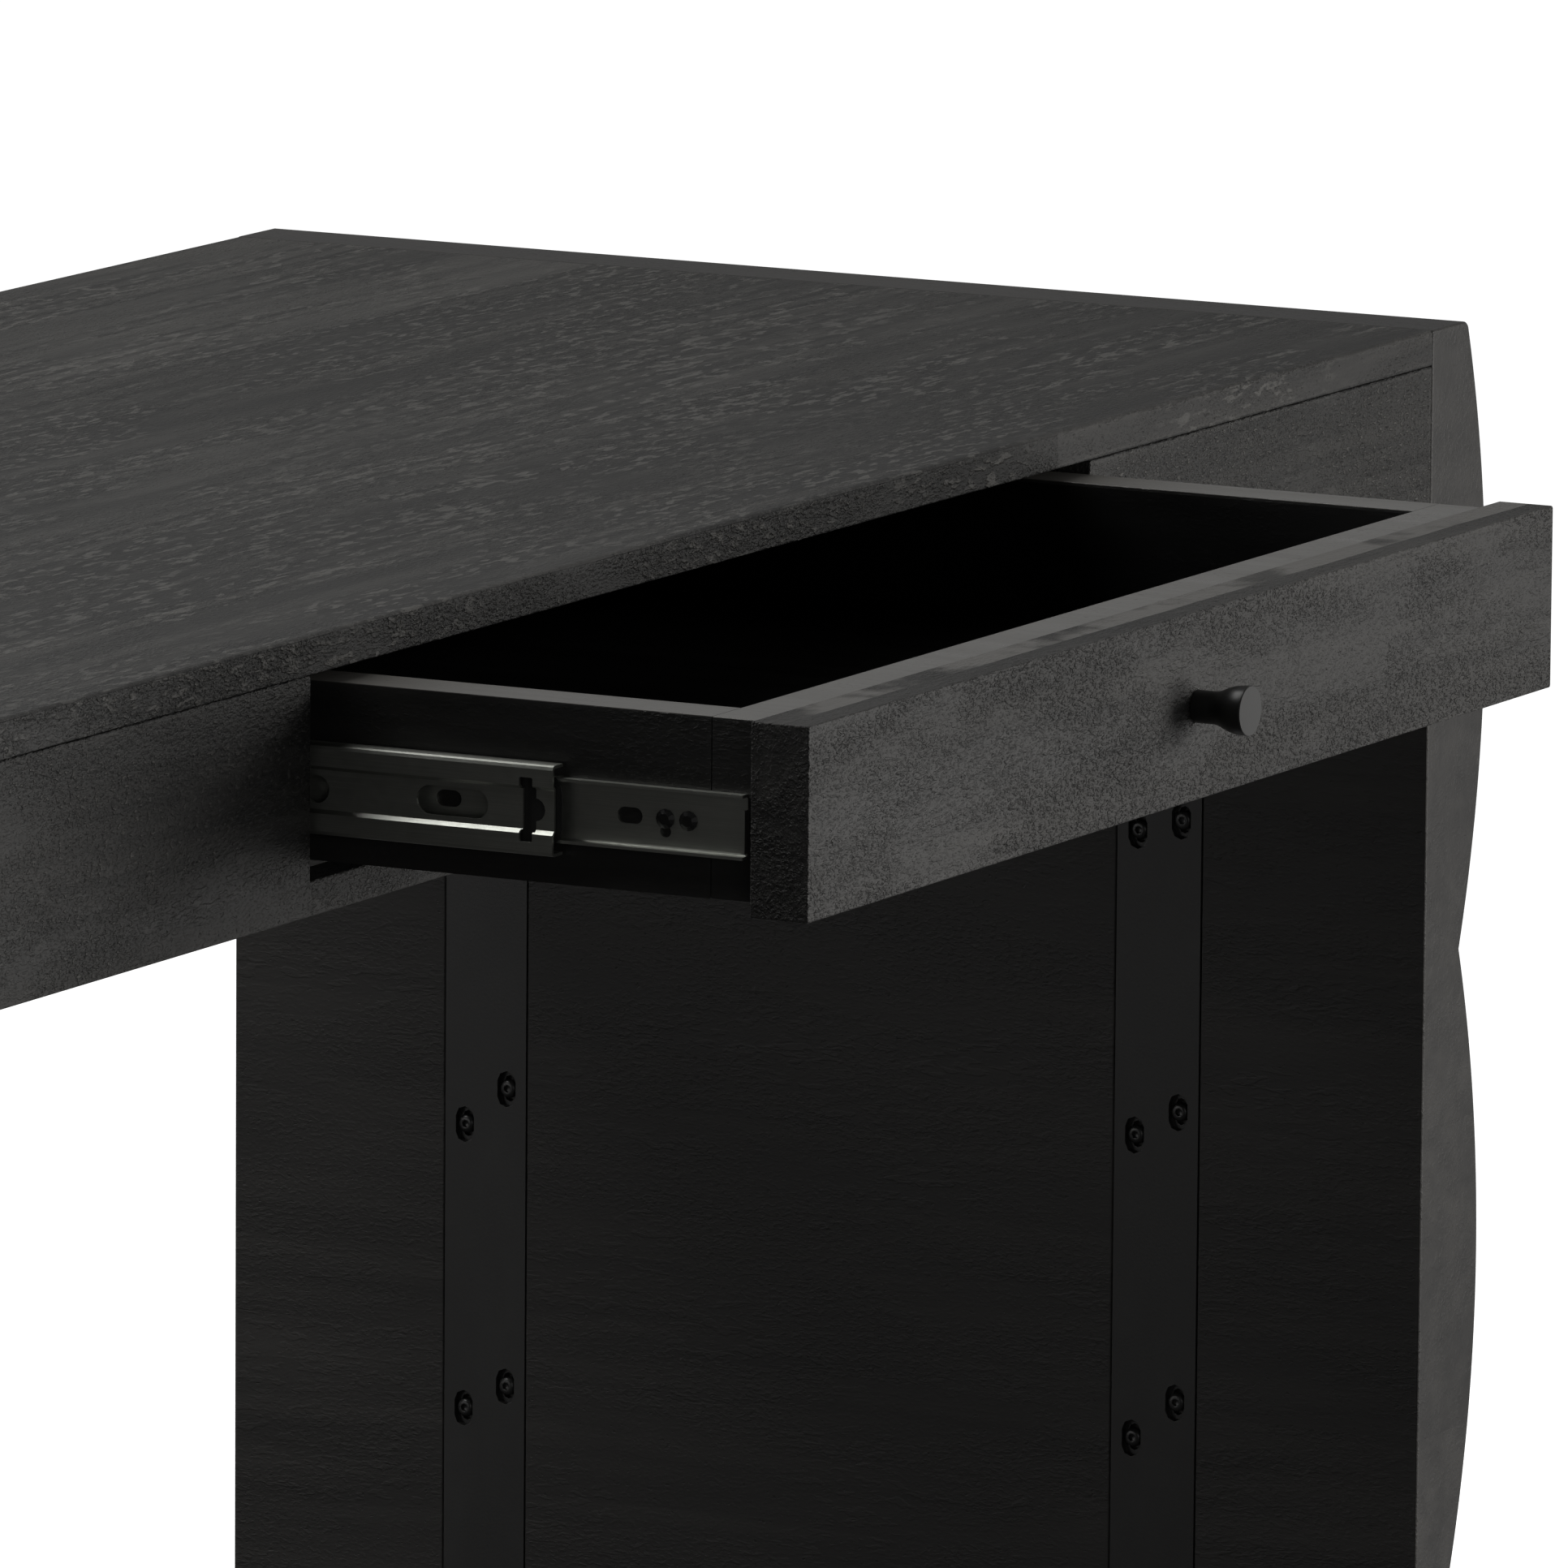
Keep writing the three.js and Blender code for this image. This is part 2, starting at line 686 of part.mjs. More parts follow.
// The drawer member, with its web against the drawer and its flanges towards the side.
function drawerMember() {
  const web = slideThickness - slideSteel / 2;
  const shape = channelOutline([web], innerFlangeEnd, innerHeight, slideSteel);
  const front = slideFront - drawerPull;
  const channel = alongY(shape, front, front + slideLength);
  const lipMiddle = slideLevel - frontLipDrop;
  const lip = box(
    fromSide(slideThickness - jointGap),
    fromSide(slideThickness - slideSteel - frontLipReach),
    front,
    front + slideSteel,
    lipMiddle - frontLipHeight / 2,
    lipMiddle + frontLipHeight / 2,
  );
  const bore = 2 * (screwRadius + drillGap);
  const holes = [
    ...innerSlots.map((place) => hole(front + place, 0, ...innerSlotSize)),
    ...innerScrewPlaces.map((place) => hole(front + place, 0, bore, bore)),
    hole(front + keyholePlace, -keyholeDrop, keyholeWidth, keyholeWidth),
  ];
  return cut(join(channel, [lip]), holes);
}

// A pressed cage that holds a row of balls above and a row below. The track's two faces are
// given from the slide's level, the web and the line of balls from the side of the opening.
function ballCage(front, length, track, web, ballLine) {
  const radius = (track.outer - track.inner) / 2 - ballPlay;
  const middle = (track.outer + track.inner) / 2;
  const end = ballLine + cageLip;
  const line = [[end, middle], [web, middle], [web, -middle], [end, -middle]];
  const outline = stripOutline(line.map(([w, z]) => [fromSide(w), slideLevel + z]), cageSteel);
  const frame = alongY(outline, front, front + length);
  const reach = middle - cageWindowRim;
  const opening = rectangle(
    front + cageWindowEnd,
    front + length - cageWindowEnd,
    slideLevel - reach,
    slideLevel + reach,
  );
  const window = alongX(opening, fromSide(web + toolOverrun), fromSide(web - toolOverrun));
  const pitch = (length - 2 * cageBallEnd) / (ballsPerRow - 1);
  const balls = [];
  for (let i = 0; i < ballsPerRow; i += 1) {
    for (const z of [middle, -middle]) {
      const ball = new THREE.SphereGeometry(radius, ballSegments, ballSegments - 1);
      balls.push(ball.translate(fromSide(ballLine), front + cageBallEnd + i * pitch, slideLevel + z));
    }
  }
  return join(cut(frame, [window]), balls);
}

function outerCage() {
  const front = slideFront + outerCageStart - middleTravel / 2;
  const track = { inner: middleHeight / 2, outer: slideHeight / 2 - slideSteel };
  return ballCage(front, outerCageLength, track, outerCageWeb, outerBallLine);
}

function innerCage() {
  const front = slideFront + innerCageStart - (middleTravel + drawerPull) / 2;
  const track = { inner: innerHeight / 2, outer: middleHeight / 2 - slideSteel };
  return ballCage(front, innerCageLength, track, innerCageWeb, innerBallLine);
}

// A plastic stop in the front of the middle member, seen through its cut-out and standing out
// of its end.
function bumper() {
  const front = slideFront - middleTravel - bumperNose;
  const back = front + bumperLength;
  const near = middleFace + slideSteel + webRecess + jointGap;
  const bottom = slideLevel - bumperHeight / 2;
  const top = slideLevel + bumperHeight / 2;
  const shape = roundedOutline([
    [front, bottom, bumperRounding], [back, bottom], [back, top], [front, top, bumperRounding],
  ]);
  return alongX(shape, fromSide(near + bumperThickness), fromSide(near));
}

// ---------------------------------------------------------------- drawer

const boxFrontY = frontThickness - drawerPull + jointGap; // outer face of the box front
const sideY = boxFrontY + boxFrontThickness + jointGap;
const boxBackY = boxFrontY + boxLength;
const boxHalf = boxWidth / 2;
const boxInnerHalf = boxHalf - boxSideThickness;
const trayBottom = boxBottom + trayRise;

function knobBore(y0, y1) {
  const radius = knobScrewRadius + drillGap;
  return turnedAlongY([[0, y0], [radius, y0], [radius, y1], [0, y1]]).translate(0, 0, knobLevel);
}

function drawerFront() {
  const shape = rectangle(-frontWidth / 2, frontWidth / 2, frontTop - frontHeight, frontTop);
  const body = alongY(shape, -drawerPull, frontThickness - drawerPull, fineEdge);
  return cut(body, [knobBore(-drawerPull - toolOverrun, frontThickness - drawerPull + toolOverrun)]);
}

function boxFront() {
  const body = box(-boxHalf, boxHalf, boxFrontY, boxFrontY + boxFrontThickness, boxBottom, boxTop);
  const groove = box(
    -boxInnerHalf - trayGroove,
    boxInnerHalf + trayGroove,
    boxFrontY + boxFrontThickness - trayGroove,
    boxFrontY + boxFrontThickness + toolOverrun,
    trayBottom - jointGap,
    trayBottom + trayThickness + jointGap,
  );
  const bore = knobBore(boxFrontY - toolOverrun, boxFrontY + boxFrontThickness + toolOverrun);
  return cut(body, [groove, bore]);
}

function boxSide() {
  const body = box(boxInnerHalf, boxHalf, sideY, boxBackY, boxBottom, boxTop);
  const groove = box(
    boxInnerHalf - toolOverrun,
    boxInnerHalf + trayGroove,
    sideY - toolOverrun,
    boxBackY + toolOverrun,
    trayBottom - jointGap,
    trayBottom + trayThickness + jointGap,
  );
  const front = slideFront - drawerPull;
  const holes = innerScrewPlaces.map((place) => screwHole(boxHalf, front + place, -1));
  return cut(body, [groove, ...holes]);
}

// The back stands on the drawer bottom, which runs out under it.
function boxBack() {
  const half = boxInnerHalf - jointGap;
  const z0 = trayBottom + trayThickness + jointGap;
  return box(-half, half, boxBackY - boxBackThickness, boxBackY, z0, boxTop);
}

function drawerBottom() {
  const half = boxInnerHalf + trayGroove - jointGap;
  const y0 = boxFrontY + boxFrontThickness - trayGroove + jointGap;
  return box(-half, half, y0, boxBackY, trayBottom, trayBottom + trayThickness);
}

// A trumpet-shaped knob: a straight neck that swells into a flat-faced head.
function knob() {
  const swell = new THREE.CubicBezierCurve(
    new THREE.Vector2(knobNeckRadius, -knobNeckLength),
    new THREE.Vector2(knobNeckRadius, -knobNeckLength - knobSwellPull),
    new THREE.Vector2(knobHeadRadius - 2 * knobFlare, -knobNeckLength - knobSwellPull),
    new THREE.Vector2(knobHeadRadius - knobFlare, knobHeadLength - knobLength),
  );
  const bore = knobScrewRadius + drillGap;
  const boreEnd = -knobScrewGrip - toolOverrun;
  const profile = [
    [0, boreEnd], [bore, boreEnd], [bore, -jointGap],
    [knobNeckRadius - knobFootEase, -jointGap], [knobNeckRadius, -jointGap - knobFootEase],
    ...swell.getPoints(knobSwellSegments).map(({ x, y }) => [x, y]),
    [knobHeadRadius, -knobLength + knobRim], [knobHeadRadius - knobRim, -knobLength], [0, -knobLength],
  ];
  const turned = turnedAlongY([...profile].reverse(), knobSegments);
  return turned.translate(0, -drawerPull, knobLevel);
}

function knobScrew() {
  const inside = boxFrontY + boxFrontThickness + screwHeadLift;
  const tip = -drawerPull - knobScrewGrip;
  const top = inside + knobScrewHeadHeight;
  const profile = [
    [0, tip], [knobScrewRadius, tip + knobScrewPoint], [knobScrewRadius, inside],
    [knobScrewHeadRadius, inside], [knobScrewHeadRadius, top - knobScrewHeadHeight * screwCrown],
    [knobScrewHeadRadius * screwCrown, top], [0, top],
  ];
  return turnedAlongY(profile).translate(0, 0, knobLevel);
}

// ---------------------------------------------------------------- assembly

function carcase() {
  const group = new THREE.Group();
  group.add(piece('tabletop', tabletop(), boardWood));
  group.add(piece('front_apron', frontApron(), apronWood));
  group.add(piece('back_apron', backApron(), apronWood));
  for (const side of sides) {
    group.add(piece(`${side.name}_end_panel`, onSide(side, endPanel()), panelWood));
    group.add(piece(`${side.name}_top_tongue`, onSide(side, tongue()), plainWood));
    group.add(piece(`${side.name}_slide_runner`, onSide(side, runner()), plainWood));
    for (const place of barPlaces) {
      group.add(piece(`${side.name}_${place.name}_steel_bar`, onSide(side, bar(place)), barSteel));
    }
    for (const place of glidePlaces) {
      const disc = glide().translate(0, place.y, 0);
      group.add(piece(`${side.name}_${place.name}_glide`, onSide(side, disc), dullPlastic));
      const block = cornerBlock(place.name === 'front');
      group.add(piece(`${side.name}_${place.name}_corner_block`, onSide(side, block), plainWood));
    }
  }
  return group;
}

function slideSet(side) {
  const group = new THREE.Group();
  const add = (name, geometry, material) => {
    group.add(piece(`${side.name}_${name}`, onSide(side, geometry), material));
  };
  add('cabinet_member', cabinetMember(), slideZinc);
  add('middle_member', middleMember(), slideZinc);
  add('drawer_member', drawerMember(), slideZinc);
  add('outer_ball_cage', outerCage(), slideZinc);
  add('inner_ball_cage', innerCage(), slideZinc);
  add('slide_bumper', bumper(), dullPlastic);
  cabinetScrewPlaces.forEach((place, i) => {
    const screw = sunkScrew(fromSide(slideSteel), slideFront + place);
    add(`cabinet_member_screw_${i + 1}`, screw, screwSteel);
  });
  innerScrewPlaces.forEach((place, i) => {
    const face = fromSide(slideThickness - slideSteel);
    const screw = panScrew(face, slideFront - drawerPull + place);
    add(`drawer_member_screw_${i + 1}`, screw, screwSteel);
  });
  return group;
}

function drawer() {
  const group = new THREE.Group();
  group.add(piece('drawer_front', drawerFront(), drawerWood));
  group.add(piece('drawer_box_front', boxFront(), boxWood));
  group.add(piece('drawer_box_back', boxBack(), boxWood));
  group.add(piece('drawer_bottom', drawerBottom(), boxWood));
  for (const side of sides) {
    group.add(piece(`drawer_${side.name}_side`, onSide(side, boxSide()), boxWood));
  }
  group.add(piece('drawer_knob', knob(), knobSteel));
  group.add(piece('knob_screw', knobScrew(), screwSteel));
  return group;
}

const consoleTable = new THREE.Group();
consoleTable.add(carcase(), ...sides.map(slideSet), drawer());
consoleTable.position.y = (drawerPull + knobLength - tableDepth) / 2;

export default consoleTable;
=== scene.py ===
"""A console table in black-stained, brushed wood with one drawer drawn out on ball-bearing slides.

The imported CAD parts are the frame. The boards, bars, slides and knob are finished here with soft
arrises and smooth curves, and every surface gets a procedural finish.
"""
import logging
import math
from contextlib import contextmanager
from dataclasses import dataclass, field, replace
from enum import Enum
from typing import Callable, Iterator, Sequence

import bmesh
import bpy
from mathutils import Matrix, Vector


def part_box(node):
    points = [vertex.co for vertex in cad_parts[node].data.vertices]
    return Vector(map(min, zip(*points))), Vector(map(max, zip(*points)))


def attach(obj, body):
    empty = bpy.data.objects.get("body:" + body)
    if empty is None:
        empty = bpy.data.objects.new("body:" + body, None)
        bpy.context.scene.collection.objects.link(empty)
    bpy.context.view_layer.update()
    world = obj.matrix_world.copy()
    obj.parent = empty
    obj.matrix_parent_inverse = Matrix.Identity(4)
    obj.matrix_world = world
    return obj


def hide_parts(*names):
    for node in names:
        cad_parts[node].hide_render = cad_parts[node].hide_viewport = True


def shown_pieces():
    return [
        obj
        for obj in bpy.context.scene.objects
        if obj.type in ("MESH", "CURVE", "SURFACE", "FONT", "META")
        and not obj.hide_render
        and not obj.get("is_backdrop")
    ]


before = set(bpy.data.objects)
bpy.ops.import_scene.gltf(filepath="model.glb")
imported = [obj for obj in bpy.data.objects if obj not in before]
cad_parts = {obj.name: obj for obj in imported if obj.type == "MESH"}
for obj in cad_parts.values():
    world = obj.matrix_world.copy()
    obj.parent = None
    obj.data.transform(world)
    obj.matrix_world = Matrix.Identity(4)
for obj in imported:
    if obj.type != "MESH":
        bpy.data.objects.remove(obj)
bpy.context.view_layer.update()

MM = 0.001
LOG = logging.getLogger("console_table")

Socket = bpy.types.NodeSocket
Colour = tuple[float, float, float]
Pair = tuple[float, float]
Triple = tuple[float, float, float]

# how far a zone reaches past the skin it covers, in metres
CLEAR = 0.01
SEAM_BLACK: Colour = (0.006, 0.006, 0.006)
# vertices nearer than this are welded, in metres, and faces that turn less are joined, in degrees
WELD_REACH = 2e-6
FLAT_DEGREES = 0.4


class Axis(Enum):
    """A direction of the frame, with its place in a vector."""

    X = 0
    Y = 1
    Z = 2


class Side(Enum):
    """The two ends of the table, with the sign of X there."""

    LEFT = -1
    RIGHT = 1

    @property
    def word(self) -> str:
        """The side's name in lower case, as the CAD parts spell it."""
        return self.name.lower()


class Body(Enum):
    """The bodies that pieces ride on."""

    TABLE = "table"
    DRAWER = "drawer"
    LEFT_MIDDLE = "left_middle"
    RIGHT_MIDDLE = "right_middle"


# ------------------------------------------------------------------ node graphs


class Graph:
    """A material's node tree with short calls for the nodes that the finishes share."""

    def __init__(self, name: str) -> None:
        """Starts an empty material.

        Args:
            name: The material's name.
        """
        self.material = bpy.data.materials.new(name)
        self.material.use_nodes = True
        self.tree = self.material.node_tree
        self.tree.nodes.clear()

    def node(self, kind: str, **settings: object) -> bpy.types.Node:
        """Adds a node.

        Args:
            kind: The node's type name.
            settings: Properties to set on it.

        Returns:
            The node.
        """
        made = self.tree.nodes.new(kind)
        for key, value in settings.items():
            setattr(made, key, value)
        return made

    def feed(self, socket: Socket, value: object) -> None:
        """Links a socket to an input, or sets the input's own value.

        Args:
            socket: The input.
            value: An output socket, a number or a tuple.
        """
        if isinstance(value, Socket):
            self.tree.links.new(value, socket)
        else:
            socket.default_value = value

    def math(self, operation: str, a: object, b: object = 0.0, c: object = 0.0) -> Socket:
        """A Math node's result.

        Args:
            operation: The node's operation.
            a: First value.
            b: Second value.
            c: Third value.

        Returns:
            The output socket.
        """
        made = self.node("ShaderNodeMath", operation=operation)
        for socket, value in zip(made.inputs, (a, b, c)):
            self.feed(socket, value)
        return made.outputs[0]

    def swing(self, value: object, gain: float, base: object) -> Socket:
        """A base value pushed up or down as a value from 0 to 1 leaves its middle."""
        return self.math("MULTIPLY_ADD", self.math("SUBTRACT", value, 0.5), gain, base)

    def vector(self, operation: str, a: object, b: object) -> Socket:
        """A Vector Math node's vector result.

        Args:
            operation: The node's operation.
            a: First vector.
            b: Second vector.

        Returns:
            The output socket.
        """
        made = self.node("ShaderNodeVectorMath", operation=operation)
        self.feed(made.inputs[0], a)
        self.feed(made.inputs[1], b)
        return made.outputs[0]

    def length(self, vector: object) -> Socket:
        """The length of a vector."""
        made = self.node("ShaderNodeVectorMath", operation="LENGTH")
        self.feed(made.inputs[0], vector)
        return made.outputs["Value"]

    def place(self, shift: Triple = (0.0, 0.0, 0.0)) -> Socket:
        """Object coordinates in metres, moved by a fixed amount.

        Args:
            shift: How far the pattern is moved, in metres.

        Returns:
            The vector socket.
        """
        coordinates = self.node("ShaderNodeTexCoord")
        moved = self.node("ShaderNodeMapping")
        self.feed(moved.inputs["Vector"], coordinates.outputs["Object"])
        moved.inputs["Location"].default_value = shift
        return moved.outputs[0]

    def parts(self, vector: object) -> tuple[Socket, ...]:
        """The x, y and z of a vector as sockets."""
        made = self.node("ShaderNodeSeparateXYZ")
        self.feed(made.inputs[0], vector)
        return tuple(made.outputs)

    def noise(
        self,
        vector: object,
        stretch: Triple,
        detail: float = 2.0,
        roughness: float = 0.5,
        distortion: float = 0.0,
    ) -> Socket:
        """Noise whose cells are stretched differently along each direction.

        Args:
            vector: Where the noise is read.
            stretch: Cells per metre along x, y and z.
            detail: Octaves.
            roughness: How strong the finer octaves are.
            distortion: How far the noise is warped.

        Returns:
            The factor socket, about 0 to 1.
        """
        made = self.node("ShaderNodeTexNoise")
        self.feed(made.inputs["Vector"], self.vector("MULTIPLY", vector, stretch))
        made.inputs["Scale"].default_value = 1.0
        made.inputs["Detail"].default_value = detail
        made.inputs["Roughness"].default_value = roughness
        made.inputs["Distortion"].default_value = distortion
        return made.outputs[0]

    def remap(
        self, value: object, low: float, high: float, to_low: float = 0.0, to_high: float = 1.0
    ) -> Socket:
        """A smooth step from one range to another.

        Args:
            value: The value.
            low: Where the step starts.
            high: Where it ends.
            to_low: Result before the step.
            to_high: Result after it.

        Returns:
            The output socket.
        """
        made = self.node("ShaderNodeMapRange", interpolation_type="SMOOTHSTEP")
        for socket, number in zip(made.inputs, (value, low, high, to_low, to_high)):
            self.feed(socket, number)
        return made.outputs[0]

    def mix(self, factor: object, a: object, b: object, blend: str = "MIX") -> Socket:
        """A mix of two colours.

        Args:
            factor: Share of the second colour.
            a: First colour, as three numbers or a socket.
            b: Second colour, as three numbers or a socket.
            blend: The node's blend type.

        Returns:
            The colour socket.
        """
        made = self.node("ShaderNodeMix", data_type="RGBA", blend_type=blend)
        self.feed(made.inputs[0], factor)
        for socket, colour in ((made.inputs[6], a), (made.inputs[7], b)):
            self.feed(socket, colour if isinstance(colour, Socket) else (*colour, 1.0))
        return made.outputs[2]

    def bump(self, height: object, depth: float) -> Socket:
        """A bumped normal.

        Args:
            height: Height from 0 to 1.
            depth: Depth of the relief in metres.

        Returns:
            The normal socket.
        """
        made = self.node("ShaderNodeBump")
        made.inputs["Strength"].default_value = 1.0
        made.inputs["Distance"].default_value = depth
        self.feed(made.inputs["Height"], height)
        return made.outputs[0]

    def surface(
        self,
        colour: object,
        roughness: object,
        normal: object,
        metallic: float = 0.0,
        specular: float = 0.5,
        anisotropic: float = 0.0,
    ) -> bpy.types.Material:
        """Closes the material with a Principled shader.

        Args:
            colour: Base colour socket.
            roughness: Roughness socket or number.
            normal: Normal socket.
            metallic: 0 for paint and wood, 1 for bare metal.
            specular: The shader's own specular level.
            anisotropic: The shader's own anisotropy.

        Returns:
            The finished material.
        """
        shader = self.node("ShaderNodeBsdfPrincipled")
        self.feed(shader.inputs["Base Color"], colour)
        self.feed(shader.inputs["Roughness"], roughness)
        self.feed(shader.inputs["Normal"], normal)
        shader.inputs["Metallic"].default_value = metallic
        shader.inputs["Specular IOR Level"].default_value = specular
        shader.inputs["Anisotropic"].default_value = anisotropic
        return self.close(shader)

    def close(self, shader: bpy.types.Node) -> bpy.types.Material:
        """Puts a shader out as the material's surface."""
        end = self.node("ShaderNodeOutputMaterial")
        self.feed(end.inputs["Surface"], shader.outputs[0])
        return self.material


# ------------------------------------------------------------------ finishes


@dataclass(frozen=True)
class Zone:
    """A box-shaped part of a board whose skin looks different. Lengths are in metres.

    colour covers the stain by the share in cover, relief scales the brushed relief, gloss is
    taken off the roughness, and ragged is how far the border wanders.
    """

    low: Triple
    high: Triple
    colour: Colour
    cover: float = 1.0
    relief: float = 1.0
    gloss: float = 0.0
    ragged: float = 0.0
    fade: float = 0.2 * MM
    border_cells: Triple = (9.0, 9.0, 120.0)

    def mask(self, graph: Graph, place: object) -> Socket:
        """How far a point lies inside the zone, from 0 to 1.

        Args:
            graph: The material's graph.
            place: Unshifted object coordinates.

        Returns:
            The mask's socket.
        """
        inside = None
        for part, low, high in zip(graph.parts(place), self.low, self.high):
            off = graph.math("ABSOLUTE", graph.math("SUBTRACT", part, (low + high) / 2.0))
            depth = graph.math("SUBTRACT", (high - low) / 2.0, off)
            inside = depth if inside is None else graph.math("MINIMUM", inside, depth)
        if self.ragged:
            wander = graph.noise(place, self.border_cells, detail=5.0, roughness=0.6)
            inside = graph.swing(wander, 2.0 * self.ragged, inside)
        return graph.remap(inside, 0.0, self.fade)


@dataclass(frozen=True)
class GrainPattern:
    """The numbers that every brushed board's pattern shares.

    Names in _cells are noise cells per metre, along the grain and across it. Names in _step are
    the values where a pattern begins and is full.
    """

    warmth_cells: Pair = (1.3, 3.0)
    ring_cells: Pair = (1.1, 5.0)
    knot_cells: Pair = (9.0, 24.0)
    streak_cells: Pair = (4.0, 62.0)
    cloud_cells: Pair = (3.0, 9.0)
    patch_cells: Pair = (6.0, 24.0)
    dust_cells: Pair = (330.0, 560.0)
    worked_cells: Pair = (9.0, 30.0)
    arris_cells: Triple = (140.0, 140.0, 140.0)
    ring_step: Pair = (-0.2, 1.0)
    patch_step: Pair = (0.36, 0.60)
    fleck_step: Pair = (0.52, 0.62)
    speck_step: Pair = (0.30, 0.23)
    worked_step: Pair = (0.38, 0.60)
    worked_depth: Pair = (0.25, 1.0)
    grit_step: Pair = (0.52, 0.66)
    crease_step: Pair = (0.40, 0.28)
    warmth_step: Pair = (0.35, 0.65)
    tone_step: Pair = (-0.1, 1.1)
    stave_shift: Triple = (3.1, 1.7, 2.3)
    ring_wander: float = 0.085
    knot_swell: float = 0.055
    rings_per_metre: float = 85.0
    middle_tone: float = 0.40
    cloud_gain: float = 0.7
    warm: Colour = (0.052, 0.044, 0.037)


@dataclass(frozen=True)
class BrushedWood:
    """Black stain on wood whose soft grain has been brushed out.

    Lengths are in metres. The pattern is stretched along the grain, changes from stave to stave,
    and bends round the knots.
    """

    deep: Colour = (0.018, 0.0175, 0.017)
    pale: Colour = (0.062, 0.060, 0.057)
    grain: Axis = Axis.X
    across: Axis = Axis.Y
    stave: float = 0.118
    stave_contrast: float = 0.35
    rings: float = 0.30
    # glint is a painted highlight: fleck and grit set how strongly the flecks and the raised grit are
    # coloured with it, where ridges catch the light
    glint: Colour = (0.115, 0.112, 0.105)
    streaks: float = 1.5
    fleck: float = 0.42
    fleck_size: Pair = (85.0, 270.0)
    grit: float = 0.3
    grit_size: Pair = (300.0, 620.0)
    speck: float = 0.9
    # how much darker the pits are coloured: their stain and painted shade in the hollows of the relief
    pit_stain_and_shade: float = 0.35
    ridge: float = 1.0
    relief: float = 0.0006
    roughness: float = 0.62
    specular: float = 0.35
    worn: float = 0.25
    worn_width: float = 0.0025
    knots: tuple[Triple, ...] = ()
    shift: Triple = (0.0, 0.0, 0.0)
    zones: tuple[Zone, ...] = ()
    pattern: GrainPattern = GrainPattern()

    def stretch(self, along: float, across: float) -> Triple:
        """Cells per metre as a vector, few along the grain and many across it."""
        return tuple(along if axis is self.grain else across for axis in Axis)

    def edge_mask(self, graph: Graph, place: object, low: Vector, high: Vector) -> Socket:
        """How near a point of the board's skin is to an arris, from 0 to 1.

        Args:
            graph: The material's graph.
            place: Unshifted object coordinates.
            low: The board's lowest corner.
            high: The board's highest corner.

        Returns:
            The mask's socket.
        """
        ways = []
        for axis, part in zip(Axis, graph.parts(place)):
            from_low = graph.math("SUBTRACT", part, low[axis.value])
            to_high = graph.math("SUBTRACT", high[axis.value], part)
            ways.append(graph.math("MINIMUM", from_low, to_high))
        first, second, third = ways
        smaller = graph.math("MINIMUM", first, second)
        larger = graph.math("MAXIMUM", first, second)
        middle = graph.math("MAXIMUM", smaller, graph.math("MINIMUM", larger, third))
        ragged = graph.noise(place, self.pattern.arris_cells, detail=3.0)
        reach = graph.math("MULTIPLY_ADD", ragged, -1.6 * self.worn_width, middle)
        return graph.remap(reach, -0.3 * self.worn_width, 0.25 * self.worn_width, 1.0, 0.0)

    def ring(self, graph: Graph, still: Socket, spot: Socket) -> Socket:
        """Growth rings, long loops whose phase swings slowly and swells round each knot.

        Args:
            graph: The material's graph.
            still: Unshifted object coordinates.
            spot: The stave's own coordinates.

        Returns:
            The rings' socket, from 0 to 1.
        """
        cells = self.pattern
        swing = graph.noise(spot, self.stretch(*cells.ring_cells), detail=2.0)
        side = graph.parts(spot)[self.across.value]
        phase = graph.math("MULTIPLY_ADD", swing, cells.ring_wander, side)
        for knot in self.knots:
            gap = graph.vector("SUBTRACT", still, knot)
            away = graph.length(graph.vector("MULTIPLY", gap, self.stretch(*cells.knot_cells)))
            swell = graph.math("POWER", 0.5, graph.math("POWER", away, 2.0))
            phase = graph.math("MULTIPLY_ADD", swell, cells.knot_swell, phase)
        turns = graph.math("MULTIPLY", phase, 2.0 * math.pi * cells.rings_per_metre)
        return graph.remap(graph.math("SINE", turns), *cells.ring_step)

    def material(self, name: str, low: Vector, high: Vector) -> bpy.types.Material:
        """Builds the finish for one board.

        Args:
            name: The material's name.
            low: The board's lowest corner.
            high: The board's highest corner.

        Returns:
            The material.
        """
        graph = Graph(name)
        cells = self.pattern
        still = graph.place()
        base = graph.place(self.shift)
        side = graph.parts(base)[self.across.value]

        # each stave draws its own number, which moves the pattern and the tone
        row = graph.math("FLOOR", graph.math("DIVIDE", side, self.stave))
        chance = graph.node("ShaderNodeTexWhiteNoise", noise_dimensions="1D")
        graph.feed(chance.inputs["W"], row)
        luck = chance.outputs["Value"]
        slide = graph.node("ShaderNodeCombineXYZ")
        for socket, reach in zip(slide.inputs, cells.stave_shift):
            graph.feed(socket, graph.math("MULTIPLY", luck, reach))
        spot = graph.vector("ADD", base, slide.outputs[0])

        ring = self.ring(graph, still, spot)
        streak = graph.noise(
            spot, self.stretch(*cells.streak_cells), detail=5.0, roughness=0.6, distortion=0.4
        )
        cloud = graph.noise(spot, self.stretch(*cells.cloud_cells), detail=2.0)
        spread = graph.noise(spot, self.stretch(*cells.patch_cells), detail=3.0, distortion=0.8)
        patch = graph.remap(spread, *cells.patch_step)
        dash = graph.noise(spot, self.stretch(*self.fleck_size), detail=2.0, roughness=0.6)
        fleck = graph.math("MULTIPLY", graph.remap(dash, *cells.fleck_step), patch)
        dust = graph.noise(spot, self.stretch(*cells.dust_cells), detail=1.0)
        speck = graph.remap(dust, *cells.speck_step)

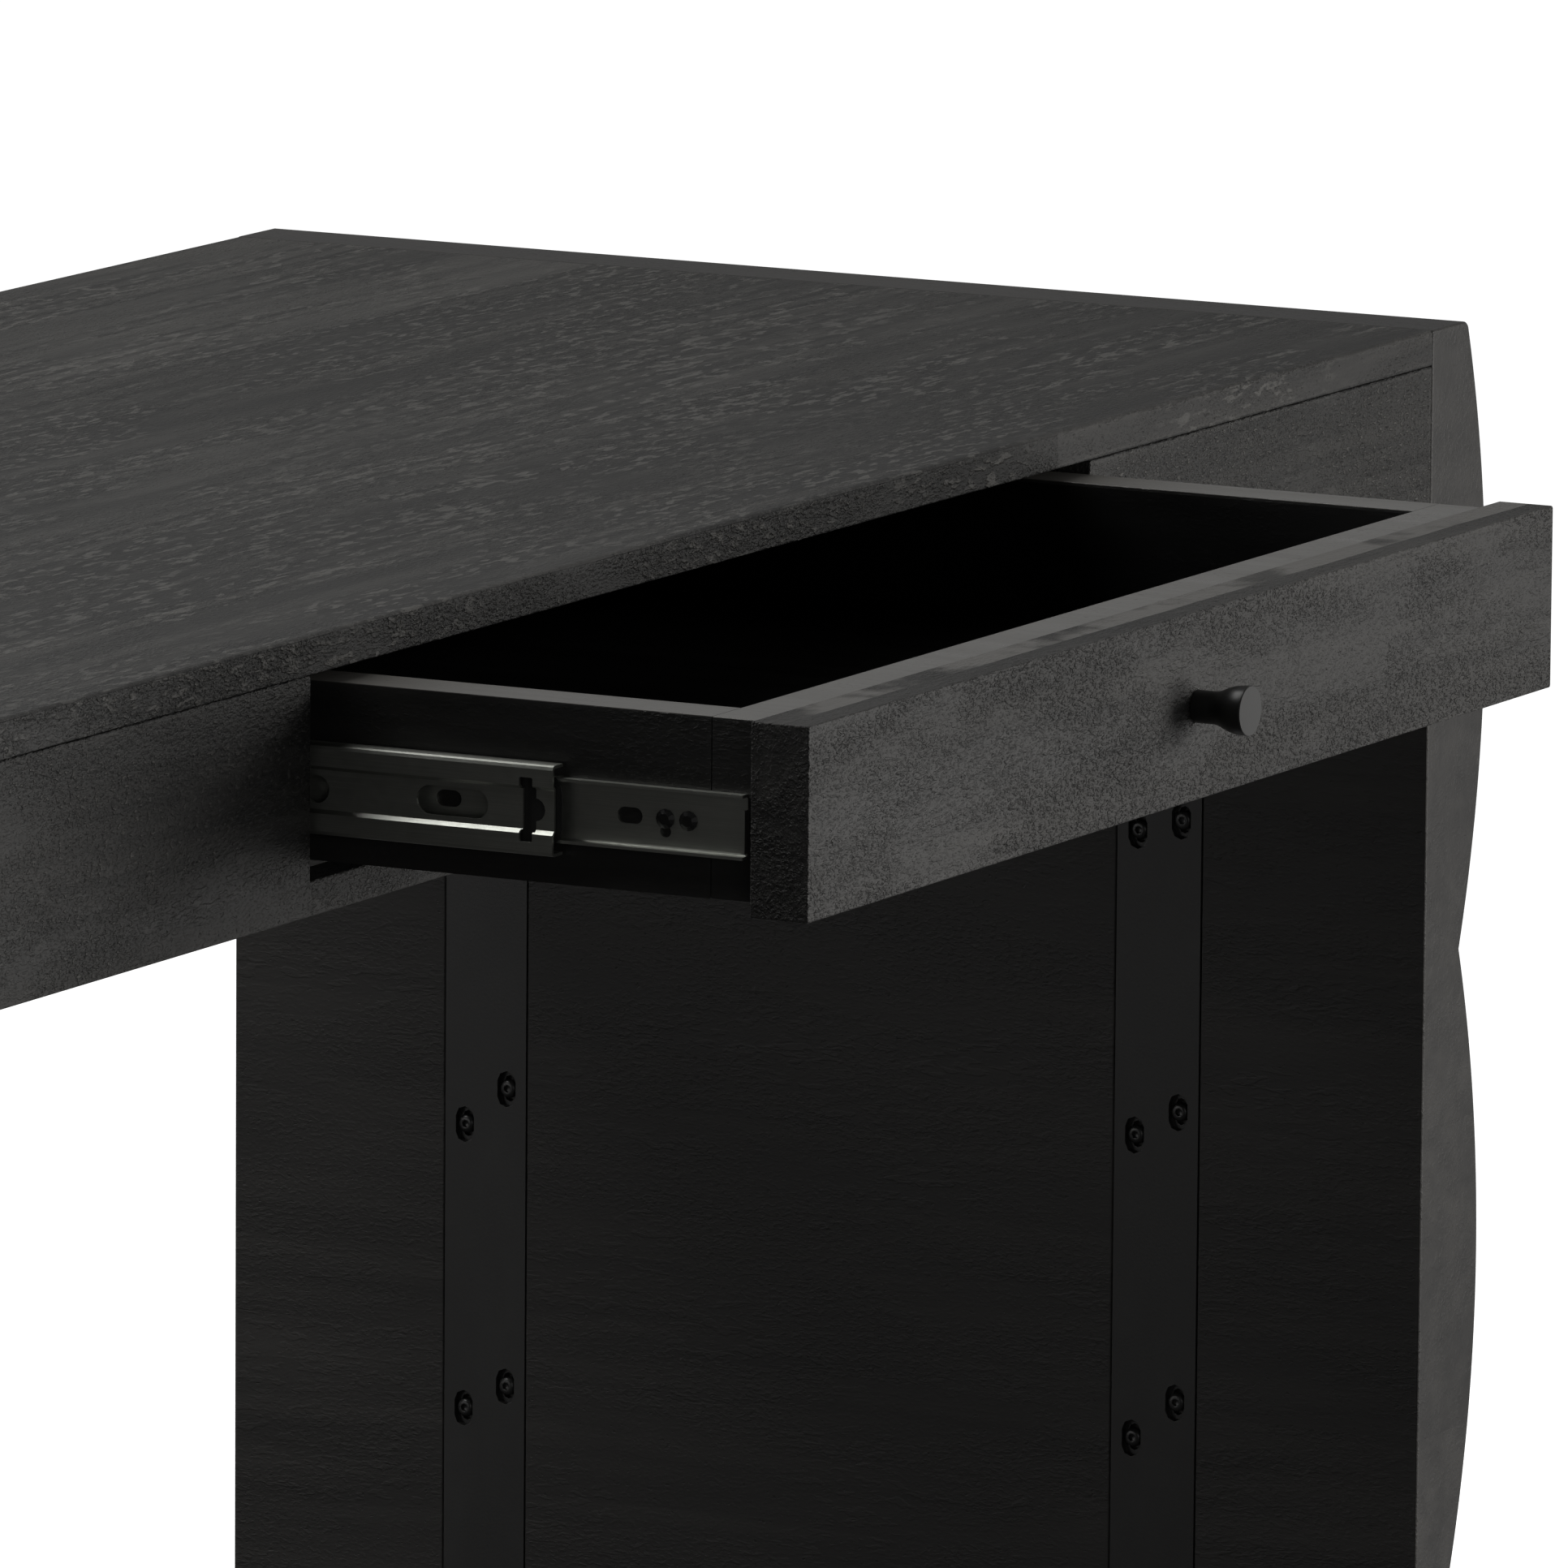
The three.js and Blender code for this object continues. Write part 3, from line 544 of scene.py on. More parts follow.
        # the brushed relief: fine lands between short pits, deep in places and shallow in others
        worked = graph.noise(spot, self.stretch(*cells.worked_cells), detail=3.0, distortion=0.5)
        depth = graph.remap(worked, *cells.worked_step, *cells.worked_depth)
        grain = graph.noise(spot, self.stretch(*self.grit_size), detail=2.0, roughness=0.6)
        grit = graph.math("MULTIPLY", graph.remap(grain, *cells.grit_step), depth)
        crease = graph.math("MULTIPLY", graph.remap(grain, *cells.crease_step), depth)

        tone = graph.swing(streak, self.streaks, cells.middle_tone)
        tone = graph.swing(luck, self.stave_contrast, tone)
        tone = graph.swing(cloud, cells.cloud_gain, tone)
        edge = self.edge_mask(graph, still, low, high)
        ringed = graph.math("MULTIPLY", ring, patch)
        # the pits (crease) are coloured darker by their stain and by painted shade in the hollows of the
        # relief
        for value, gain in (
            (ringed, -self.rings), (crease, -self.pit_stain_and_shade), (speck, -self.speck), (edge, self.worn)
        ):
            tone = graph.math("MULTIPLY_ADD", value, gain, tone)
        colour = graph.mix(graph.remap(tone, *cells.tone_step), self.deep, self.pale)
        wander = graph.noise(base, self.stretch(*cells.warmth_cells), detail=1.0)
        warmth = graph.math("MULTIPLY", graph.remap(wander, *cells.warmth_step), 0.25)
        colour = graph.mix(warmth, colour, cells.warm, "SOFT_LIGHT")
        rough = graph.swing(streak, 0.25, self.roughness)
        rough = graph.math("MULTIPLY_ADD", crease, 0.15, rough)

        share = 1.0
        shown = 1.0
        for zone in self.zones:
            mask = zone.mask(graph, still)
            colour = graph.mix(graph.math("MULTIPLY", mask, zone.cover), colour, zone.colour)
            if zone.relief < 1.0:
                shown = graph.math("MULTIPLY", shown, graph.math("SUBTRACT", 1.0, mask))
            rough = graph.math("MULTIPLY_ADD", mask, -zone.gloss, rough)
            share = graph.math("MULTIPLY_ADD", mask, zone.relief - 1.0, share)
        # painted highlight: the raised grit and the flecks are coloured with the glint, as their ridges
        # catching the light
        painted_highlight = graph.math("MULTIPLY", graph.math("MULTIPLY", grit, self.grit), share)
        painted_highlight = graph.math("MAXIMUM", painted_highlight, graph.math("MULTIPLY", fleck, self.fleck))
        colour = graph.mix(graph.math("MULTIPLY", painted_highlight, shown), colour, self.glint)

        height = graph.math("MULTIPLY", graph.math("MULTIPLY", grain, depth), 1.5 * self.ridge)
        for value, gain in (
            (grit, 0.7 * self.ridge), (fleck, 0.35), (crease, -0.5 * self.ridge), (speck, -0.4)
        ):
            height = graph.math("MULTIPLY_ADD", value, gain, height)
        normal = graph.bump(graph.math("MULTIPLY", height, share), self.relief)
        return graph.surface(colour, rough, normal, specular=self.specular)


@dataclass(frozen=True)
class PaintedSteel:
    """Flat black paint on steel, with a faint peel and rubbed spots. Lengths are in metres."""

    colour: Colour = (0.02, 0.0198, 0.0192)
    rubbed: Colour = (0.03, 0.03, 0.029)
    roughness: float = 0.42
    specular: float = 0.5
    peel: float = 0.00004

    def material(self, name: str) -> bpy.types.Material:
        """Builds the finish.

        Args:
            name: The material's name.

        Returns:
            The material.
        """
        graph = Graph(name)
        place = graph.place()
        worn = graph.noise(place, (22.0, 22.0, 14.0), detail=5.0, roughness=0.6)
        peel = graph.noise(place, (900.0, 900.0, 900.0), detail=2.0)
        colour = graph.mix(graph.remap(worn, 0.45, 0.8), self.colour, self.rubbed)
        rough = graph.math("MULTIPLY_ADD", worn, 0.2, self.roughness - 0.1)
        return graph.surface(colour, rough, graph.bump(peel, self.peel), specular=self.specular)


@dataclass(frozen=True)
class ZincSteel:
    """Cold-rolled steel with bright zinc, drawn along the slide. Lengths are in metres."""

    bright: Colour = (0.56, 0.57, 0.53)
    dull: Colour = (0.36, 0.37, 0.34)
    roughness: float = 0.33
    scratch: float = 0.00003

    def material(self, name: str) -> bpy.types.Material:
        """Builds the finish.

        Args:
            name: The material's name.

        Returns:
            The material.
        """
        graph = Graph(name)
        place = graph.place()
        drawn = graph.noise(place, (2400.0, 14.0, 2400.0), detail=3.0, roughness=0.6)
        stain = graph.noise(place, (30.0, 12.0, 60.0), detail=4.0, roughness=0.6, distortion=0.5)
        spangle = graph.noise(place, (260.0, 260.0, 260.0), detail=2.0)
        dirt = graph.math("MULTIPLY_ADD", stain, 0.7, graph.math("MULTIPLY", drawn, 0.4))
        colour = graph.mix(graph.remap(dirt, 0.35, 0.8), self.bright, self.dull)
        rough = graph.math("MULTIPLY_ADD", stain, 0.22, self.roughness - 0.08)
        rough = graph.math("MULTIPLY_ADD", spangle, 0.1, rough)
        normal = graph.bump(drawn, self.scratch)
        return graph.surface(colour, rough, normal, metallic=1.0, anisotropic=0.35)


@dataclass(frozen=True)
class DullPlastic:
    """Moulded black plastic with a fine grain. Lengths are in metres."""

    colour: Colour = (0.012, 0.012, 0.012)
    roughness: float = 0.55
    grain: float = 0.00003

    def material(self, name: str) -> bpy.types.Material:
        """Builds the finish.

        Args:
            name: The material's name.

        Returns:
            The material.
        """
        graph = Graph(name)
        place = graph.place()
        grain = graph.noise(place, (1500.0, 1500.0, 1500.0), detail=2.0)
        haze = graph.noise(place, (60.0, 60.0, 60.0), detail=3.0)
        colour = graph.mix(graph.remap(haze, 0.4, 0.8), self.colour, (0.024, 0.024, 0.024))
        rough = graph.math("MULTIPLY_ADD", haze, 0.15, self.roughness - 0.05)
        return graph.surface(colour, rough, graph.bump(grain, self.grain))


# ------------------------------------------------------------------ mesh helpers


def new_piece(name: str, mesh: bpy.types.Mesh) -> bpy.types.Object:
    """Puts a mesh into the scene as an object at the origin.

    Args:
        name: The piece's name.
        mesh: Its mesh, already in place.

    Returns:
        The object.
    """
    made = bpy.data.objects.new(name, mesh)
    bpy.context.scene.collection.objects.link(made)
    return made


def finished_mesh(work: bmesh.types.BMesh, name: str) -> bpy.types.Mesh:
    """Turns a work mesh into a named mesh and frees it."""
    mesh = bpy.data.meshes.new(name)
    work.to_mesh(mesh)
    work.free()
    return mesh


@contextmanager
def edited(mesh: bpy.types.Mesh) -> Iterator[bmesh.types.BMesh]:
    """Lends a mesh as a work mesh, and writes it back at the end."""
    work = bmesh.new()
    work.from_mesh(mesh)
    yield work
    work.to_mesh(mesh)
    work.free()


def settle(piece: bpy.types.Object) -> None:
    """Bakes a piece's modifiers into a plain mesh and removes them."""
    bpy.context.view_layer.update()
    evaluated = piece.evaluated_get(bpy.context.evaluated_depsgraph_get())
    mesh = bpy.data.meshes.new_from_object(evaluated)
    piece.modifiers.clear()
    piece.data = mesh


def smooth_by_angle(piece: bpy.types.Object, degrees: float) -> None:
    """Shades a piece smooth, but keeps edges sharper than an angle crisp and broad faces flat.

    Args:
        piece: The piece.
        degrees: Edges that turn more than this stay crisp.
    """
    mesh = piece.data
    mesh.polygons.foreach_set("use_smooth", [True] * len(mesh.polygons))
    mesh.set_sharp_from_angle(angle=math.radians(degrees))
    weighted = piece.modifiers.new("broad_faces_flat", "WEIGHTED_NORMAL")
    weighted.mode = "FACE_AREA"
    weighted.weight = 100
    weighted.keep_sharp = True
    settle(piece)


def soften(piece: bpy.types.Object, width: float, segments: int, degrees: float) -> None:
    """Rounds a piece's arrises and bakes the result.

    Args:
        piece: The piece.
        width: Width of the rounding in metres.
        segments: Facets across it.
        degrees: Only edges that turn more than this are rounded.
    """
    bevel = piece.modifiers.new("arris", "BEVEL")
    bevel.width = width
    bevel.segments = segments
    bevel.limit_method = "ANGLE"
    bevel.angle_limit = math.radians(degrees)
    bevel.use_clamp_overlap = True
    settle(piece)


def round_edges(
    piece: bpy.types.Object, chosen: Callable[[Vector, Vector], bool], width: float, segments: int
) -> None:
    """Rounds the edges whose two ends pass a test.

    Args:
        piece: The piece.
        chosen: The test on an edge's two ends.
        width: Width of the rounding in metres.
        segments: Facets across it.
    """
    with edited(piece.data) as work:
        edges = [edge for edge in work.edges if chosen(edge.verts[0].co, edge.verts[1].co)]
        bmesh.ops.bevel(
            work, geom=edges, offset=width, segments=segments, profile=0.5, affect="EDGES",
            clamp_overlap=True,
        )
        LOG.info("rounded %d edges of %s", len(edges), piece.name)


def welded_copy(node: str, name: str) -> bpy.types.Object:
    """A CAD part's shape as one welded mesh with its flat faces joined up.

    Args:
        node: The CAD part.
        name: The new piece's name.

    Returns:
        The new piece, at the origin.
    """
    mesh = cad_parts[node].data.copy()
    mesh.name = name
    with edited(mesh) as work:
        bmesh.ops.remove_doubles(work, verts=work.verts, dist=WELD_REACH)
        bmesh.ops.dissolve_limit(
            work, angle_limit=math.radians(FLAT_DEGREES), verts=work.verts, edges=work.edges,
            use_dissolve_boundaries=False,
        )
    mesh.materials.clear()
    return new_piece(name, mesh)


def softened_copy(
    node: str, name: str, arris: float, facets: int = 2, arris_degrees: float = 50.0,
    smooth_degrees: float = 32.0,
) -> bpy.types.Object:
    """A welded copy of a CAD part with rounded arrises and smooth curves.

    Args:
        node: The CAD part.
        name: The new piece's name.
        arris: Width of the rounding in metres.
        facets: Facets across it.
        arris_degrees: Only edges that turn more than this are rounded.
        smooth_degrees: Edges that turn more than this stay crisp.

    Returns:
        The new piece, at the origin.
    """
    piece = welded_copy(node, name)
    soften(piece, arris, facets, arris_degrees)
    smooth_by_angle(piece, smooth_degrees)
    return piece


def dress(
    piece: bpy.types.Object, finish: bpy.types.Material, slot: str, body: Body, *nodes: str
) -> None:
    """Gives a finished piece its material, the parts it stands for and its body.

    Args:
        piece: The piece.
        finish: Its material.
        slot: Not used.
        body: The body it rides on.
        nodes: CAD parts that it replaces.
    """
    piece.data.materials.clear()
    piece.data.materials.append(finish)
    if nodes:
        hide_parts(*nodes)
    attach(piece, body.value)
    LOG.info("piece %s: %d faces on %s", piece.name, len(piece.data.polygons), body.value)


def paint_node(node: str, finish: bpy.types.Material) -> None:
    """Gives a CAD part that stays as it is a better material.

    Args:
        node: The CAD part.
        finish: The material.
    """
    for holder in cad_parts[node].material_slots:
        holder.material = finish
    LOG.info("part %s keeps its shape", node)


def turned(profile: Sequence[tuple[float, float]], segments: int) -> bmesh.types.BMesh:
    """A solid of revolution about +Y from points of (radius, place along Y).

    Args:
        profile: Points from one pole to the other, the first and last on the axis.
        segments: Facets round the axis.

    Returns:
        The work mesh, with its normals outward.
    """
    work = bmesh.new()
    rings: list[list[bmesh.types.BMVert]] = []
    for radius, along in profile:
        if radius < 1e-9:
            rings.append([work.verts.new((0.0, along, 0.0))])
            continue
        ring = []
        for step in range(segments):
            angle = 2.0 * math.pi * step / segments
            ring.append(work.verts.new((radius * math.cos(angle), along, radius * math.sin(angle))))
        rings.append(ring)
    for near, far in zip(rings, rings[1:]):
        for step in range(segments):
            following = (step + 1) % segments
            corners = [near[step % len(near)], near[following % len(near)]]
            corners += [far[following % len(far)], far[step % len(far)]]
            unique = list(dict.fromkeys(corners))
            if len(unique) > 2:
                work.faces.new(unique)
    bmesh.ops.recalc_face_normals(work, faces=work.faces)
    return work


# ------------------------------------------------------------------ geometry nodes


class ShapeTree:
    """A Geometry Nodes tree with named inputs, built in code."""

    def __init__(self, name: str) -> None:
        """Starts an empty tree with a geometry input and output.

        Args:
            name: The tree's name.
        """
        self.tree = bpy.data.node_groups.new(name, "GeometryNodeTree")
        self.names: dict[str, str] = {}
        self.tree.interface.new_socket("Geometry", in_out="INPUT", socket_type="NodeSocketGeometry")
        self.tree.interface.new_socket("Geometry", in_out="OUTPUT", socket_type="NodeSocketGeometry")
        self.start = self.tree.nodes.new("NodeGroupInput")
        self.end = self.tree.nodes.new("NodeGroupOutput")

    def take(self, name: str, kind: str) -> Socket:
        """Adds a named input.

        Args:
            name: The input's name.
            kind: Its socket type.

        Returns:
            The socket that carries it inside the tree.
        """
        item = self.tree.interface.new_socket(name, in_out="INPUT", socket_type=kind)
        self.names[name] = item.identifier
        return self.start.outputs[name]

    def take_all(self, kind: str, *names: str) -> list[Socket]:
        """Adds named inputs of one kind, in order."""
        return [self.take(name, kind) for name in names]

    def node(
        self, kind: str, inputs: dict[object, object] | None = None, **settings: object
    ) -> bpy.types.Node:
        """Adds a node and feeds its inputs.

        Args:
            kind: The node's type name.
            inputs: Sockets or values by input name or number.
            settings: Properties to set.

        Returns:
            The node.
        """
        made = self.tree.nodes.new(kind)
        for key, value in settings.items():
            setattr(made, key, value)
        for key, value in (inputs or {}).items():
            if isinstance(value, Socket):
                self.tree.links.new(value, made.inputs[key])
            else:
                made.inputs[key].default_value = value
        return made

    def math(self, operation: str, a: object, b: object = 0.0, c: object = 0.0) -> Socket:
        """A Math node's result."""
        return self.node("ShaderNodeMath", {0: a, 1: b, 2: c}, operation=operation).outputs[0]

    def combine(self, x: object, y: object = 0.0, z: object = 0.0) -> Socket:
        """A vector of three parts."""
        return self.node("ShaderNodeCombineXYZ", {0: x, 1: y, 2: z}).outputs[0]

    def finish(self, geometry: Socket, material: Socket) -> None:
        """Ends the tree with Realize Instances and Set Material.

        Args:
            geometry: The geometry to put out.
            material: The material input.
        """
        real = self.node("GeometryNodeRealizeInstances", {"Geometry": geometry})
        clad = self.node("GeometryNodeSetMaterial", {"Geometry": real.outputs[0], "Material": material})
        self.tree.links.new(clad.outputs[0], self.end.inputs[0])

    def apply(self, piece: bpy.types.Object, values: dict[str, object]) -> None:
        """Runs the tree on a piece with these inputs and keeps the plain result.

        Args:
            piece: The piece.
            values: Values by input name.
        """
        modifier = piece.modifiers.new("shape", "NODES")
        modifier.node_group = self.tree
        for name, value in values.items():
            modifier[self.names[name]] = value
        settle(piece)


def scalloped_panel_tree() -> ShapeTree:
    """A board whose outer face is a row of equal convex lobes, with channels sunk in its inner face."""
    made = ShapeTree("scalloped_panel")
    inner, valley, rise, pitch, depth, bottom, height, back = made.take_all(
        "NodeSocketFloat", "Inner Face", "Valley Thickness", "Lobe Rise", "Lobe Pitch", "Depth",
        "Bottom", "Height", "Middle Of Depth",
    )
    channel_width, channel_height, channel_depth, channel_middle, *channel_places = made.take_all(
        "NodeSocketFloat", "Channel Width", "Channel Height", "Channel Depth", "Channel Middle",
        "Front Channel", "Back Channel",
    )
    rows = made.take("Rows", "NodeSocketInt")
    material = made.take("Finish", "NodeSocketMaterial")

    size = made.combine(1.0, depth, height)
    block = made.node("GeometryNodeMeshCube", {"Size": size, 1: 2, 2: 2, 3: rows})
    where = made.node("GeometryNodeInputPosition")
    parts = made.node("ShaderNodeSeparateXYZ", {0: where.outputs[0]})
    level = made.math("ADD", parts.outputs[2], made.math("MULTIPLY", height, 0.5))
    within = made.math("MODULO", level, pitch)
    half = made.math("MULTIPLY", pitch, 0.5)
    along = made.math("SUBTRACT", within, half)
    chord = made.math("ADD", made.math("MULTIPLY", rise, rise), made.math("MULTIPLY", half, half))
    radius = made.math("DIVIDE", chord, made.math("MULTIPLY", rise, 2.0))
    square = made.math("MULTIPLY", radius, radius)
    under = made.math("SUBTRACT", square, made.math("MULTIPLY", along, along))
    crown = made.math("SUBTRACT", made.math("SQRT", under), made.math("SUBTRACT", radius, rise))
    swell = made.math("MAXIMUM", crown, 0.0)
    outer = made.math("ADD", inner, made.math("ADD", valley, swell))
    is_outer = made.math("GREATER_THAN", parts.outputs[0], 0.0)
    x = made.math("MULTIPLY_ADD", is_outer, made.math("SUBTRACT", outer, inner), inner)
    y = made.math("ADD", parts.outputs[1], back)
    z = made.math("ADD", level, bottom)
    target = made.combine(x, y, z)
    shaped = made.node("GeometryNodeSetPosition", {"Geometry": block.outputs[0], "Position": target})

    tool_size = made.combine(made.math("MULTIPLY", channel_depth, 2.0), channel_width, channel_height)
    tool = made.node("GeometryNodeMeshCube", {"Size": tool_size})
    joined = made.node("GeometryNodeJoinGeometry")
    for place in channel_places:
        shift = made.combine(inner, place, channel_middle)
        moved = made.node("GeometryNodeTransform", {"Geometry": tool.outputs[0], "Translation": shift})
        made.tree.links.new(moved.outputs[0], joined.inputs[0])
    cut = made.node("GeometryNodeMeshBoolean", operation="DIFFERENCE")
    made.tree.links.new(shaped.outputs[0], cut.inputs[0])
    made.tree.links.new(joined.outputs[0], cut.inputs[1])
    made.finish(cut.outputs[0], material)
    return made


def screw_columns_tree() -> ShapeTree:
    """Copies of a screw head in two columns of their own pitch, each head turned by chance about X."""
    made = ShapeTree("screw_columns")
    count = made.take("Count", "NodeSocketInt")
    starts = made.take_all("NodeSocketVector", "First Start", "Second Start")
    steps = made.take_all("NodeSocketVector", "First Step", "Second Step")
    seed = made.take("Seed", "NodeSocketInt")
    material = made.take("Finish", "NodeSocketMaterial")
    points = made.node("GeometryNodeJoinGeometry")
    for start, step in zip(starts, steps):
        line = made.node(
            "GeometryNodeMeshLine",
            {"Count": count, "Start Location": start, "Offset": step},
            mode="OFFSET",
            count_mode="TOTAL",
        )
        made.tree.links.new(line.outputs[0], points.inputs[0])
    turn = made.node("FunctionNodeRandomValue", {"Seed": seed}, data_type="FLOAT")
    turn.inputs[2].default_value = 0.0
    turn.inputs[3].default_value = math.tau
    spin = made.combine(turn.outputs[1])
    copies = made.node(
        "GeometryNodeInstanceOnPoints",
        {"Points": points.outputs[0], "Instance": made.start.outputs[0], "Rotation": spin},
    )
    made.finish(copies.outputs[0], material)
    return made


# ------------------------------------------------------------------ the studio


@dataclass(frozen=True)
class SoftBox:
    """One soft light: where it stands, the point it faces, its size, its watts and its colour."""

    name: str
    place: Triple
    aim: Triple
    size: Pair
    power: float
    colour: Colour


@dataclass
class Studio:
    """The pale floor, the soft lights and the camera. Lengths in metres, angles in degrees."""

    camera_place: Triple = (-5.9302, -3.3408, 1.8516)
    heading: float = 27.8214
    fall: float = 9.4366
    roll: float = 0.4370
    lens: float = 388.44
    ground: float = 60.0
    sensor: float = 36.0
    clip: Pair = (0.1, 400.0)
    floor_middle: Triple = (0.0, -0.12, 0.0)
    floor_ring: Pair = (0.7, 1.7)
    floor_glow: Pair = (0.72, 1.0)
    surround_step: Pair = (-0.1, 0.9)
    surround_glow: Pair = (0.035, 0.34)
    lights: tuple[SoftBox, ...] = (
        SoftBox("key", (1.75, -2.9, 0.95), (0.0, -0.18, 0.78), (1.5, 1.9), 76.0, (1.0, 0.985, 0.96)),
        SoftBox("overhead", (-0.4, 1.2, 2.9), (-0.2, 0.0, 0.8), (2.0, 1.6), 44.0, (1.0, 1.0, 0.985)),
        SoftBox("left_back_fill", (-3.0, 2.2, 0.9), (0.4, 0.2, 0.5), (1.6, 1.4), 12.5, (1.0, 0.99, 0.98)),
        SoftBox("left_front_fill", (-2.8, -2.6, 1.2), (0.3, 0.0, 0.6), (1.6, 1.6), 8.0, (1.0, 0.99, 0.98)),
        SoftBox("back_fill", (0.6, 3.8, 1.3), (0.0, 0.2, 0.5), (2.2, 1.6), 34.0, (1.0, 1.0, 1.0)),
    )

    def build(self) -> None:
        """Makes the floor, the backdrop, the lights, the camera and the world."""
        self.build_floor()
        self.build_backdrop()
        for box in self.lights:
            self.build_light(box)
        self.build_camera()
        self.build_world()

    def camera_only(self, thing: bpy.types.Object) -> None:
        """Keeps a stage object out of the object's own light and reflections."""
        thing.visible_diffuse = False
        thing.visible_glossy = False
        thing.visible_transmission = False
        thing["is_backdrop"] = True

    def build_floor(self) -> None:
        """A white floor that takes a soft contact shadow near the table and is even farther out."""
        work = bmesh.new()
        bmesh.ops.create_circle(work, cap_ends=True, radius=self.ground, segments=96)
        floor = new_piece("studio_floor", finished_mesh(work, "studio_floor"))
        graph = Graph("studio_floor_paper")
        place = graph.place(self.floor_middle)
        away = graph.length(graph.vector("MULTIPLY", place, (1.0, 1.5, 1.0)))
        glow = graph.node("ShaderNodeEmission")
        graph.feed(glow.inputs["Strength"], graph.remap(away, *self.floor_ring, *self.floor_glow))
        paper = graph.node("ShaderNodeBsdfDiffuse")
        paper.inputs["Color"].default_value = (0.8, 0.8, 0.8, 1.0)
        both = graph.node("ShaderNodeAddShader")
        graph.feed(both.inputs[0], glow.outputs[0])
        graph.feed(both.inputs[1], paper.outputs[0])
        floor.data.materials.append(graph.close(both))
        self.camera_only(floor)

    def build_backdrop(self) -> None:
        """An even white surround, far behind everything."""
        work = bmesh.new()
        bmesh.ops.create_uvsphere(work, u_segments=48, v_segments=24, radius=self.ground * 1.2)
        backdrop = new_piece("studio_backdrop", finished_mesh(work, "studio_backdrop"))
        graph = Graph("studio_backdrop_white")
        backdrop.data.materials.append(graph.close(graph.node("ShaderNodeEmission")))
        self.camera_only(backdrop)
        backdrop.visible_shadow = False

    def build_light(self, box: SoftBox) -> None:
        """Sets up one soft light.

        Args:
            box: The light.
        """
        lamp = bpy.data.lights.new(box.name, "AREA")
        lamp.shape = "RECTANGLE"
        lamp.size, lamp.size_y = box.size
        lamp.energy = box.power
        lamp.color = box.colour
        holder = bpy.data.objects.new(box.name, lamp)
        holder.location = box.place
        holder.rotation_euler = (Vector(box.aim) - Vector(box.place)).to_track_quat("-Z", "Y").to_euler()
        holder.visible_camera = False
        bpy.context.scene.collection.objects.link(holder)

    def build_camera(self) -> None:
        """A long lens from the left front, looking slightly down."""
        heading, fall, roll = (math.radians(turn) for turn in (self.heading, self.fall, self.roll))
        ahead = Vector((
            math.cos(fall) * math.cos(heading), math.cos(fall) * math.sin(heading), -math.sin(fall)
        ))
        level = Vector((math.sin(heading), -math.cos(heading), 0.0))
        right = level * math.cos(roll) + level.cross(ahead) * math.sin(roll)
        up = right.cross(ahead)
        data = bpy.data.cameras.new("camera")
        data.lens = self.lens
        data.sensor_width = self.sensor
        data.clip_start, data.clip_end = self.clip
        camera = bpy.data.objects.new("camera", data)
        rows = [(right[i], up[i], -ahead[i], self.camera_place[i]) for i in range(3)]
        camera.matrix_world = Matrix((*rows, (0.0, 0.0, 0.0, 1.0)))
        bpy.context.scene.collection.objects.link(camera)
        bpy.context.scene.camera = camera

    def build_world(self) -> None:
        """A dim surround, brighter to the right and behind, and a plain view transform."""
        world = bpy.data.worlds.new("studio")
        world.use_nodes = True
        tree = world.node_tree
        tree.nodes.clear()
        coordinates = tree.nodes.new("ShaderNodeTexCoord")
        parts = tree.nodes.new("ShaderNodeSeparateXYZ")
        step = tree.nodes.new("ShaderNodeMapRange")
        step.interpolation_type = "SMOOTHSTEP"
        for socket, number in zip(step.inputs, (0.0, *self.surround_step, *self.surround_glow)):
            socket.default_value = number
        glow = tree.nodes.new("ShaderNodeBackground")
        end = tree.nodes.new("ShaderNodeOutputWorld")
        tree.links.new(coordinates.outputs["Generated"], parts.inputs[0])
        tree.links.new(parts.outputs[0], step.inputs[0])
        tree.links.new(step.outputs[0], glow.inputs["Strength"])
        tree.links.new(glow.outputs[0], end.inputs["Surface"])
        bpy.context.scene.world = world
        bpy.context.scene.view_settings.view_transform = "Standard"
        bpy.context.scene.view_settings.look = "None"


# ------------------------------------------------------------------ the table


